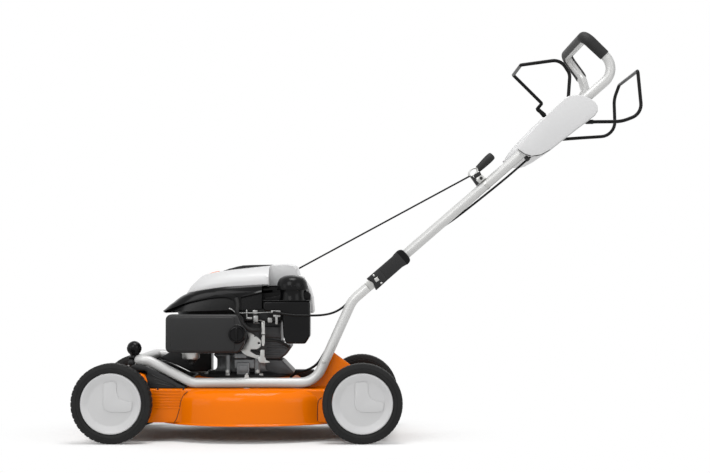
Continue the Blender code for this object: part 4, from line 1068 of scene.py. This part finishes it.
def build_cowl():
    """The black hood with its raised arch and recessed panels, the light cover, its vent and insert."""
    hood = lofted("hood", [cowl_ring(*s) for s in HOUSING])
    carved(hood, sketched("arch", arch(0.31), -0.2, -0.05))
    panel = [(-0.307, 0.31), (-0.307, 0.36), (-0.304, 0.3655), (-0.248, 0.378), (-0.23, 0.38),
             (-0.23, 0.31)]
    carved(hood, sketched("side_panel", panel, -0.2, -0.05))
    carved(hood, boxed("tank_corner", (-0.254, -0.3, 0.25), (-0.05, -0.074, 0.55)))
    softened(hood, 0.001, 2, 50)
    finished(hood, GLOSS, "chassis", ["blower_housing"], 40)
    upper = [(-0.5105, 0.3262), (-0.4886, 0.34), (-0.468, 0.3545), (-0.4479, 0.3655), (-0.42, 0.372),
             (-0.3786, 0.3757), (-0.355, 0.3757), (-0.3379, 0.373), (-0.325, 0.368), (-0.317, 0.3605),
             (-0.3134, 0.35), (-0.3125, 0.325)]
    band = [(p.x, p.z) for p in flowing([(x, 0, z) for x, z in upper], 0.006)] + arch(0.325)[-2::-1]
    rib = carved(sketched("hood_arch", band, -0.2, -0.09),
                 lofted("hood_skin", [cowl_ring(*inset(s, -0.0024)) for s in HOUSING[1:]]), "INTERSECT")
    finished(softened(rib, 0.0014, 3, 50), GLOSS, "chassis", (), 50)
    inner = [cowl_ring(-0.504, -0.15, 0.1372, 0.33, 0.03), cowl_ring(-0.495, -0.15, 0.1346, 0.35, 0.045),
             cowl_ring(-0.48, -0.15, 0.1312, 0.374, 0.06, 0.3)]
    core = lofted("hood_core", inner)
    carved(core, boxed("tank_corner", (-0.254, -0.3, 0.25), (-0.05, -0.076, 0.55)))
    finished(core, GLOSS, "chassis", (), 40)
    skirt = [cowl_ring(-0.47, -0.18, 0.112, 0.301, 0.0), cowl_ring(-0.48, -0.17, 0.118, 0.33, 0.0)]
    finished(lofted("blower_base", skirt), GRAINED, "chassis", (), 40)
    ends = []
    for x, z in ((-0.306, 0.3625), (-0.278, 0.369), (-0.254, 0.3745)):
        ends.append([(x, -0.1418, z - 0.001), (x, -0.1424, z + 0.0006), (x, -0.1385, z + 0.0048),
                     (x, -0.134, z + 0.0058), (x, -0.13, z + 0.0058), (x, -0.13, z - 0.001)])
    finished(softened(lofted("hood_ledge", ends), 0.0006, 2), GLOSS, "chassis")
    cover = lofted("engine_cover", [cowl_ring(*s) for s in COVER])
    carved(cover, softened(boxed("corner", (-0.237, -0.3, 0.25), (-0.05, -0.075, 0.55)), 0.012, 5))
    tail = [(-0.158, 0.415), (-0.144, 0.401), (-0.134, 0.385), (-0.127, 0.36), (-0.1235, 0.32),
            (-0.142, 0.32), (-0.144, 0.39), (-0.16, 0.405)]
    skirt = slab("cover_skirt", tail, -0.072, 0.072, 0.003, 3)
    cover = joined("engine_cover", [softened(cover, 0.0026, 3, 60), skirt])
    finished(cover, PANEL, "chassis", ["top_cover"], 40)
    build_vent()


COVER_TOP = 0.437
COVER_SLOPE = 0.115


def cover_height(x):
    """The height of the cover's flat top."""
    return COVER_TOP + COVER_SLOPE * (x - BLADE_X)


def build_vent():
    """A raised grille of slats on a dark bed, and the orange insert in front of it."""
    rise = [(-0.366, -0.002), (-0.356, 0.0012), (-0.342, 0.0042), (-0.322, 0.0074), (-0.308, 0.0082),
            (-0.29, 0.007), (-0.265, 0.0046), (-0.233, 0.0014)]
    parts = []
    for step in range(-14, 15):
        y = 0.005 * step
        drop = -0.0016 * (y / 0.07) ** 2
        solid = step % 2 == 0
        lift = 1.0 if solid else 0.35
        top = [(x, cover_height(x) + drop + up * lift) for x, up in rise]
        low = [(x, cover_height(x) + drop - 0.007) for x in (rise[-1][0], rise[0][0])]
        reach = 0.0014 if solid else 0.0037
        parts.append(sketched("slat", top + low, y - reach, y + reach))
    for x, up in (rise[2], rise[4], rise[6]):
        for side in (-1, 1):
            z = cover_height(x) + up - 0.0014
            bar = [(x - 0.0015, side * y, z - fall)
                   for y, fall in ((0.0, 0.0), (0.035, 0.0004), (0.0705, 0.0016))]
            parts.append(piped("cross_bar", bar, 0.0016, 2))
    finished(joined("vent", parts), GRAINED, "chassis", ["vent_grille"])
    strip = [(-0.408, 0.419), (-0.401, 0.4222), (-0.392, 0.4252), (-0.383, 0.4276), (-0.374, 0.4292)]
    under = [(x, z - 0.006) for x, z in reversed(strip)]
    insert = slab("cover_insert", strip + under, -0.024, 0.024, 0.0006, 2)
    finished(insert, ORANGE, "chassis")


def build_fuel():
    """The tank with its moulding seam, and the domed cap."""
    outline = [(-0.25, 0.327), (-0.208, 0.324), (-0.201, 0.318), (-0.198, 0.264), (-0.191, 0.244),
               (-0.142, 0.244), (-0.13, 0.264), (-0.13, 0.3535), (-0.25, 0.3535)]
    tank = slab("tank", rounded(outline, 0.008, 4), -0.16, -0.078, 0.007, 4, 50)
    shoulder = [(-0.25, 0.35), (-0.13, 0.35), (-0.13, 0.37), (-0.14, 0.378), (-0.23, 0.362), (-0.25, 0.36)]
    upper = slab("shoulder", rounded(shoulder, 0.008, 4), -0.11, -0.078, 0.005, 4, 50)
    neck = [(0.033, 0.35), (0.0325, 0.356), (0.0305, 0.364), (0.03, 0.372), (0.031, 0.379), (0.034, 0.384),
            (0.0365, 0.388), (0.0372, 0.392), (0.0372, 0.395), (0.0005, 0.395)]
    collar = lathe("collar", neck, 64, at(FUEL_X, FUEL_Y))
    ring = [(-0.2508, 0.352), (-0.1292, 0.352), (-0.1292, 0.3542), (-0.2508, 0.3542)]
    seam = slab("tank_seam", ring, -0.1608, -0.0772, 0.0008, 2)
    tank = joined("tank", [tank, upper, collar, seam])
    finished(tank, GLOSS, "chassis", ["fuel_tank"], 40)
    outline = [(0.0376, 0.38), (0.0388, 0.3805), (0.0393, 0.383), (0.0393, 0.39), (0.0388, 0.3945),
               (0.0376, 0.399), (0.0352, 0.4048), (0.0312, 0.41), (0.024, 0.4146), (0.015, 0.417),
               (0.006, 0.4179), (0.0005, 0.418), (0.0005, 0.3953), (0.0376, 0.3953)]
    cap = lathe("filler_cap", outline, 64, at(FUEL_X, FUEL_Y), ring=True)
    grips = [cap]
    for step in range(32):
        turn = 2 * pi * step / 32
        place = at(FUEL_X, FUEL_Y) @ Matrix.Rotation(turn, 4, "Z") @ at(0.0384, 0, 0.3865)
        rib = boxed("grip_rib", (-0.001, -0.001, -0.0045), (0.0014, 0.001, 0.0045), 0.0005, 1)
        grips.append(placed(rib, place))
    finished(joined("filler_cap", grips), GLOSS, "fuel_closure", ["fuel_cap"])


KNOB_X, KNOB_Z = -0.313, 0.269


def build_intake():
    """Air cleaner with its raised panel and turn knob, and the carburettor with its bowl and drain."""
    outline = [(-0.493, 0.222), (-0.308, 0.222), (-0.296, 0.244), (-0.293, 0.274), (-0.302, 0.298),
               (-0.311, 0.319), (-0.493, 0.319)]
    body = slab("cleaner_body", rounded(outline, 0.014, 5), -0.187, -0.148, 0.007, 4, 50)
    panel = [(-0.479, 0.227), (-0.319, 0.227), (-0.319, 0.3125), (-0.479, 0.3125)]
    face = slab("cleaner_face", rounded(panel, 0.007, 4), -0.19, -0.18, 0.0022, 3, 50)
    seat = [(0.025, -0.004), (0.025, 0.0012), (0.0232, 0.0024), (0.0215, 0.001), (0.0215, -0.004)]
    ring = lathe("knob_seat", seat, 48, across_machine(KNOB_X, -0.1875, KNOB_Z), ring=True)
    cover = joined("cleaner_cover", [body, face, ring])
    finished(cover, GRAINED, "chassis", ["air_box_cover"], 40)
    spot = across_machine(KNOB_X, -0.1903, KNOB_Z)
    outline = [(0.0205, 0.0), (0.0205, 0.006), (0.0195, 0.0078), (0.0175, 0.0085), (0.016, 0.0072),
               (0.01, 0.0068), (0.0005, 0.0068)]
    disc = lathe("cleaner_knob", outline, 48, spot)
    bar = placed(boxed("knob_bar", (-0.003, -0.0165, 0.004), (0.003, 0.0165, 0.0138), 0.0018, 3), spot)
    knob = joined("cleaner_knob", [disc, bar])
    finished(knob, GLOSS, "filter_closure", ["air_box_knob"])
    outline = [(0.015, 0.202), (0.0205, 0.204), (0.0222, 0.208), (0.0224, 0.218), (0.024, 0.2184),
               (0.024, 0.2215), (0.0222, 0.222), (0.0222, 0.2265), (0.0005, 0.2265)]
    cup = lathe("bowl_cup", outline, 48, at(-0.4365, -0.115))
    finished(cup, BRIGHT, "chassis", ["float_bowl"])
    foot = [(0.004, 0.19), (0.006, 0.1905), (0.006, 0.195), (0.0105, 0.1955), (0.0115, 0.199),
            (0.0148, 0.2022)]
    finished(lathe("bowl_drain", foot, 32, at(-0.4345, -0.115)), GRAINED, "chassis")
    body = softened(boxed("carburettor_body", (-0.462, -0.14, 0.2272), (-0.412, -0.066, 0.27)), 0.004, 3)
    outline = [(0.02, -0.012), (0.02, 0.0), (0.0235, 0.001), (0.0235, 0.006), (0.0005, 0.006)]
    throat = lathe("throat", outline, 32, across_machine(-0.437, -0.135, 0.252))
    spindle = lathe("spindle", [(0.0035, 0), (0.0035, 0.02), (0.0005, 0.02)], 12, at(-0.422, -0.09, 0.268))
    whole = joined("carburettor_body", [body, throat, spindle])
    finished(whole, CAST, "chassis", ["carburettor"])


BREATHER_RADIUS = 0.0052
FUEL_HOSE_RADIUS = 0.0036
PLUG_LEAD_RADIUS = 0.0032


def build_controls():
    """The bracket, levers, hoses, links and spring between the air cleaner and the tank."""
    outline = [(-0.2932, 0.2736), (-0.2804, 0.2685), (-0.265, 0.2582), (-0.2548, 0.248), (-0.2548, 0.2364),
               (-0.2676, 0.2288), (-0.283, 0.2288), (-0.285, 0.2232), (-0.27, 0.214), (-0.252, 0.211),
               (-0.252, 0.202), (-0.2676, 0.2045), (-0.2932, 0.2125), (-0.3035, 0.219), (-0.3073, 0.2249),
               (-0.2983, 0.239), (-0.2881, 0.257)]
    plate = sketched("bracket_plate", outline, -0.1182, -0.116)
    for x, z, radius in ((-0.2727, 0.262, 0.002), (-0.2625, 0.2441, 0.0032), (-0.26, 0.2075, 0.0014)):
        carved(plate, lathe("hole", [(radius, -0.01), (radius, 0.01)], 20, across_machine(x, -0.117, z)))
    softened(plate, 0.0005, 2, 40)
    lip = softened(boxed("bracket_lip", (-0.256, -0.118, 0.248), (-0.253, -0.096, 0.259)), 0.0006, 2)
    finished(joined("bracket_plate", [plate, lip]), BRIGHT, "chassis", ["control_bracket"])
    stem = rounded([(-0.252, 0.196), (-0.2475, 0.196), (-0.2475, 0.242), (-0.2468, 0.244), (-0.2468, 0.301),
                    (-0.2552, 0.301), (-0.2552, 0.274), (-0.254, 0.272), (-0.2545, 0.229),
                    (-0.2585, 0.2262), (-0.259, 0.206)], 0.0015, 3)
    foot = [(-0.265, 0.208), (-0.255, 0.212), (-0.246, 0.208), (-0.244, 0.201), (-0.235, 0.1975),
            (-0.234, 0.195), (-0.248, 0.1935), (-0.259, 0.1945), (-0.263, 0.199)]
    base = slab("lever_foot", foot, -0.1215, -0.1195, 0.0005, 2, 40)
    lever = slab("stop_lever", stem, -0.124, -0.1215, 0.0006, 2, 50)
    lever = joined("stop_lever", [lever, base])
    pin = lathe("lever_pin", [(0.003, 0), (0.003, 0.0016), (0.0018, 0.0022)], 16,
                across_machine(-0.251, -0.1238, 0.24))
    step = softened(boxed("lever_step", (-0.2556, -0.1252, 0.266), (-0.2464, -0.123, 0.2715)), 0.0006, 2)
    tip = lathe("lever_tip", [(0.0022, 0), (0.0022, 0.0022), (0.0012, 0.0028)], 12,
                across_machine(-0.251, -0.1236, 0.2925))
    lever = joined("stop_lever", [lever, pin, step, tip])
    finished(lever, BRIGHT, "brake", ["brake_lever"])
    collars = [boxed("lever_collar", (-0.256, -0.1258, 0.2645), (-0.246, -0.1195, 0.2672), 0.0005),
               boxed("lever_collar", (-0.2562, -0.1254, 0.2275), (-0.2462, -0.1195, 0.2425), 0.0005)]
    finished(joined("lever_collars", collars), GRAINED, "brake")
    hose = flowing([(-0.3185, -0.147, 0.36), (-0.314, -0.15, 0.342), (-0.315, -0.152, 0.324),
                    (-0.307, -0.15, 0.302), (-0.29, -0.145, 0.283), (-0.273, -0.138, 0.278),
                    (-0.26, -0.13, 0.279)], 0.004)
    finished(piped("breather_hose", hose, BREATHER_RADIUS, 6), SOFT, "chassis")
    link = flowing([(-0.248, -0.113, 0.251), (-0.22, -0.112, 0.25), (-0.198, -0.106, 0.242),
                    (-0.188, -0.098, 0.233)], 0.004)
    finished(piped("fuel_hose", link, FUEL_HOSE_RADIUS), SOFT, "chassis")
    parts = [boxed("link_bracket", (-0.2933, -0.14, 0.309), (-0.2905, -0.128, 0.33), 0.0006),
             boxed("link_foot", (-0.2933, -0.14, 0.306), (-0.278, -0.138, 0.311), 0.0006),
             boxed("link_block", (-0.2755, -0.138, 0.2988), (-0.263, -0.126, 0.315), 0.002),
             boxed("link_top", (-0.277, -0.136, 0.3185), (-0.265, -0.13, 0.329), 0.0012),
             boxed("stop_block", (-0.239, -0.138, 0.297), (-0.227, -0.126, 0.31), 0.002),
             boxed("clamp_top", (-0.229, -0.164, 0.3225), (-0.205, -0.159, 0.3285), 0.001),
             boxed("clamp_bar", (-0.223, -0.163, 0.312), (-0.205, -0.159, 0.3172), 0.001),
             boxed("clamp_stem", (-0.218, -0.1625, 0.2935), (-0.212, -0.159, 0.315), 0.001)]
    rod = [(-0.316, -0.142, 0.3215), (-0.26, -0.144, 0.3222), (-0.224, -0.16, 0.3245)]
    parts.append(piped("link_rod", rod, 0.0011, 3))
    choke = [(-0.337, -0.142, 0.333, 0), (-0.329, -0.143, 0.33, 0.003), (-0.3165, -0.143, 0.319, 0)]
    parts.append(piped("choke_rod", bent(choke, 4), 0.0018, 3))
    rod = [(-0.276, -0.128, 0.302), (-0.256, -0.128, 0.303), (-0.25, -0.127, 0.296)]
    parts.append(piped("governor_rod", rod, 0.001, 3))
    coil = []
    for step in range(97):
        turn = step * pi / 6
        coil.append((-0.276 + 0.0155 * step / 96, -0.129 + 0.0022 * cos(turn), 0.296 + 0.0022 * sin(turn)))
    parts.append(piped("spring", coil, 0.0005, 1))
    finished(joined("control_links", parts), DULL, "chassis")


POSTS = (-0.3434, -0.2662)


def build_block():
    """Crankcase with its flange and bosses, rear casting, muffler guard, bolts, oil plug and plug lead."""
    # The crankcase's flange ring is painted black: partly its own dark colour, partly painted shade beneath
    # the engine.
    flange = [(0.124, 0.1524), (0.124, 0.159), (0.122, 0.1604), (0.098, 0.165), (0.09, 0.169),
              (0.05, 0.1695), (0.05, 0.1524)]
    rim = lathe("case_flange", flange, 64, at(BLADE_X, 0), ring=True)
    finished(rim, GRAINED, "chassis", (), 35)
    case = [(0.086, 0.153), (0.086, 0.169), (0.081, 0.174), (0.0795, 0.18), (0.0795, 0.198), (0.083, 0.203),
            (0.088, 0.208), (0.088, 0.211), (0.084, 0.216), (0.072, 0.226), (0.036, 0.262), (0.036, 0.3),
            (0.0005, 0.3)]
    parts = [lathe("engine_case", case, 64, at(BLADE_X, 0))]
    for low, high in (((-0.3263, -0.099, 0.1784), (-0.2746, -0.07, 0.2016)),
                      ((-0.3198, -0.106, 0.1629), (-0.2875, -0.07, 0.1938)),
                      ((-0.315, -0.1075, 0.169), (-0.292, -0.07, 0.188)),
                      ((-0.3263, -0.1, 0.2042), (-0.2953, -0.07, 0.2171)),
                      ((-0.2746, -0.096, 0.164), (-0.264, -0.07, 0.21))):
        parts.append(boxed("case_boss", low, high, 0.002, 3))
    post = [(0.0062, 0.16), (0.0062, 0.212), (0.0045, 0.2135), (0.0005, 0.2135)]
    for x in POSTS:
        parts.append(lathe("case_post", post, 20, at(x, -0.088)))
    finished(joined("engine_case", parts), CAST, "chassis", ["crankcase"], 35)
    side = [(-0.34, 0.2), (-0.212, 0.2), (-0.196, 0.211), (-0.18, 0.234), (-0.186, 0.2375),
            (-0.2075, 0.238), (-0.2075, 0.299), (-0.34, 0.299)]
    parts = [slab("rear_casting", side, -0.07, 0.07, 0.006, 3, 30)]
    for step in range(5):
        z = 0.209 + 0.0092 * step
        reach = -0.206 + 0.0052 * step
        parts.append(boxed("casting_rib", (-0.27, -0.0745, z), (reach, -0.069, z + 0.0036), 0.0012, 2))
    foot = [(-0.25, 0.16), (-0.176, 0.16), (-0.176, 0.168), (-0.186, 0.178), (-0.2058, 0.1985),
            (-0.25, 0.202)]
    parts.append(slab("casting_foot", foot, -0.062, 0.062, 0.004, 3, 30))
    parts.append(boxed("casting_pad", (-0.264, -0.078, 0.256), (-0.208, -0.069, 0.286), 0.003, 3))
    finished(joined("rear_casting", parts), DARK_CAST, "chassis", (), 35)
    bolts = []
    for step in range(8):
        turn = pi * (step + 0.5) / 4
        spot = (BLADE_X + 0.112 * cos(turn), 0.112 * sin(turn), 0.1605)
        bolts.append(screw("flange_bolt", spot, (0, 0, 1), 0.0055, 0.006))
    for x in POSTS:
        bolts.append(screw("post_bolt", (x, -0.105, 0.1712), (0, -1, 0), 0.0042, 0.005))
    finished(joined("flange_bolts", bolts), BRIGHT, "chassis")
    guard = [(-0.506, 0.295), (-0.512, 0.289), (-0.513, 0.212), (-0.539, 0.199), (-0.537, 0.1945),
             (-0.46, 0.1625), (-0.402, 0.16), (-0.402, 0.218), (-0.352, 0.23), (-0.352, 0.295)]
    parts = [slab("muffler_guard", guard, 0.07, 0.133, 0.005, 3, 25)]
    for row in range(5):
        z = 0.218 + 0.0145 * row
        parts.append(boxed("louvre", (-0.495, 0.13, z), (-0.408, 0.135, z + 0.0055), 0.0018, 2))
    finished(joined("muffler_guard", parts), GRAINED, "chassis", ["muffler"], 35)
    screws = [screw("guard_screw", (x, 0.1328, z), (0, 1, 0), 0.0042, 0.004)
              for x, z in ((-0.503, 0.286), (-0.362, 0.286), (-0.362, 0.24), (-0.412, 0.178))]
    finished(joined("guard_screws", screws), BRIGHT, "chassis")
    filler = [(0.01, 0.167), (0.01, 0.22), (0.015, 0.221), (0.0165, 0.224), (0.0165, 0.232),
              (0.015, 0.2345), (0.006, 0.2358), (0.0005, 0.236)]
    plug = lathe("filler_plug", filler, 40, at(BLADE_X, 0.11))
    finished(plug, GRAINED, "oil_closure", ["oil_cap"])
    lead = flowing([(-0.496, 0, 0.256), (-0.506, 0.006, 0.259), (-0.508, 0.018, 0.276), (-0.495, 0.03, 0.3),
                    (-0.47, 0.034, 0.33)], 0.004)
    finished(piped("plug_lead", lead, PLUG_LEAD_RADIUS, 4), SOFT, "chassis")


def build_fasteners():
    """Bolts through the frame rails and the riser, and the clamp at the end of the right rail."""
    stud = [(0.003, 0.13), (0.003, 0.169), (0.0022, 0.17), (0.0005, 0.17)]
    washer = [(0.0085, 0.1315), (0.0085, 0.1338), (0.0005, 0.1338)]
    x, parts = -0.2896, []
    for y in (-TUBE_Y, TUBE_Y):
        parts.append(screw("rail_nut", (x, y, 0.1583), (0, 0, 1), 0.0056, 0.0085))
        parts.append(lathe("rail_stud", stud, 16, at(x, y)))
        parts.append(lathe("rail_washer", washer, 24, at(x, y)))
    clamp = boxed("rail_clamp", (-0.185, 0.148, 0.1322), (-0.128, 0.182, 0.1604), 0.004, 3)
    finished(clamp, GRAINED, "chassis")
    parts.append(screw("riser_bolt", (-0.095, -0.1765, 0.2), (0, -1, 0), 0.0048, 0.005))
    finished(joined("frame_bolts", parts), BRIGHT, "chassis")


# Camera, light and floor

CAMERA_PLACE = (-0.0165, -3.83, 0.4)
CAMERA_TILT = 0.0315
CAMERA_LENS = 73.47
# Name, place, target, size and power
LAMPS = [("key_light", (-1.3, -2.8, 2.0), (-0.1, 0, 0.3), 1.6, 33),
         ("low_light", (-2.8, -1.8, 0.7), (-0.3, 0, 0.15), 1.4, 6.5),
         ("fill_light", (2.4, -2.4, 1.3), (0, 0, 0.4), 1.8, 16),
         ("top_light", (-0.1, -0.6, 2.9), (-0.1, 0, 0.2), 1.2, 46),
         ("back_light", (0.8, 2.8, 2.2), (0, 0, 0.4), 2.0, 14)]


def place_camera():
    """The camera that fits the photograph."""
    bpy.ops.object.camera_add(location=CAMERA_PLACE, rotation=(pi / 2 + CAMERA_TILT, 0, 0))
    camera = bpy.context.object
    camera.name = "camera"
    camera.data.sensor_width = 36
    camera.data.lens = CAMERA_LENS
    camera.data.clip_end = 60
    bpy.context.scene.camera = camera


def place_lamps():
    """Soft square lamps, each turned to its target."""
    for name, place, target, size, power in LAMPS:
        heading = (Vector(target) - Vector(place)).to_track_quat("-Z", "Y").to_euler()
        bpy.ops.object.light_add(type="AREA", location=place, rotation=heading)
        lamp = bpy.context.object
        lamp.name = name
        lamp.data.size = size
        lamp.data.energy = power


def light_world():
    """A white background where the camera or a reflection sees it, which gives less light than it shows."""
    world = bpy.data.worlds.new("studio")
    bpy.context.scene.world = world
    world.use_nodes = True
    tree = world.node_tree
    sky = tree.nodes["Background"]
    sky.inputs["Color"].default_value = (1, 1, 1, 1)
    rays = add_node(tree, "ShaderNodeLightPath").outputs
    seen = worked(tree, "MAXIMUM", rays["Is Camera Ray"], rays["Is Glossy Ray"])
    seen = worked(tree, "MAXIMUM", seen, rays["Is Transmission Ray"])
    tree.links.new(mapped(tree, seen, {"To Min": 0.38, "To Max": 1.0}), sky.inputs["Strength"])


def floor_material():
    """A pale floor that fades into the white background round the mower."""
    made = bpy.data.materials.new("pale floor")
    made.use_nodes = True
    tree = made.node_tree
    shader = tree.nodes["Principled BSDF"]
    shader.inputs["Roughness"].default_value = 0.8
    path = add_node(tree, "ShaderNodeLightPath")
    shade = toned(tree, (0.93, 0.93, 0.93), (0.68, 0.68, 0.68), path.outputs["Is Diffuse Ray"])
    tree.links.new(shade, shader.inputs["Base Color"])
    shift = add_node(tree, "ShaderNodeMapping", {"Location": (0.4, 0.0, 0.0), "Scale": (1.3, 1.55, 1.0)})
    tree.links.new(add_node(tree, "ShaderNodeTexCoord").outputs["Object"], shift.inputs["Vector"])
    reach = add_node(tree, "ShaderNodeVectorMath", operation="LENGTH")
    tree.links.new(shift.outputs["Vector"], reach.inputs[0])
    fade = mapped(tree, reach.outputs["Value"], {"From Min": 0.4, "From Max": 0.95}, "SMOOTHSTEP")
    glow = add_node(tree, "ShaderNodeEmission")
    mixed = add_node(tree, "ShaderNodeMixShader")
    tree.links.new(fade, mixed.inputs["Fac"])
    tree.links.new(shader.outputs["BSDF"], mixed.inputs[1])
    tree.links.new(glow.outputs["Emission"], mixed.inputs[2])
    tree.links.new(mixed.outputs["Shader"], tree.nodes["Material Output"].inputs["Surface"])
    return made


def build_stage():
    """Camera, lamps, background and floor."""
    place_camera()
    place_lamps()
    light_world()
    bpy.ops.mesh.primitive_circle_add(vertices=128, radius=6.0, fill_type="NGON", location=(0, 0, 0))
    floor = settled("floor")
    floor.data.materials.append(floor_material())
    bpy.context.scene.view_settings.view_transform = "Standard"


# CAD nodes that stay

NODE_FINISH = {
    "air_box_base": GRAINED, "air_filter": PANEL, "blade": DULL, "blade_bolt": BRIGHT, "blade_hub": DULL,
    "crankshaft": DULL, "cylinder": CAST, "cylinder_head": CAST, "drive_belt": SOFT, "drive_shaft": DULL,
    "engine_pulley": DULL, "flywheel": CAST, "gearbox": CAST, "gearbox_pulley": DULL,
    "rear_crank_left": DULL, "rear_crank_right": DULL, "recoil_pulley": GRAINED, "spark_plug": GRAINED,
}


def paint_nodes():
    """Gives the CAD nodes that stay their finishes."""
    for name, finish in NODE_FINISH.items():
        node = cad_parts[name]
        node.data.materials.clear()
        node.data.materials.append(finish)


# The whole mower

build_stage()
paint_nodes()
build_wheels()
build_deck()
build_front_cover()
build_tubes()
build_grip()
build_fold()
build_starter()
build_console()
build_bails()
build_cables()
build_lever()
build_cowl()
build_fuel()
build_intake()
build_controls()
build_block()
build_fasteners()
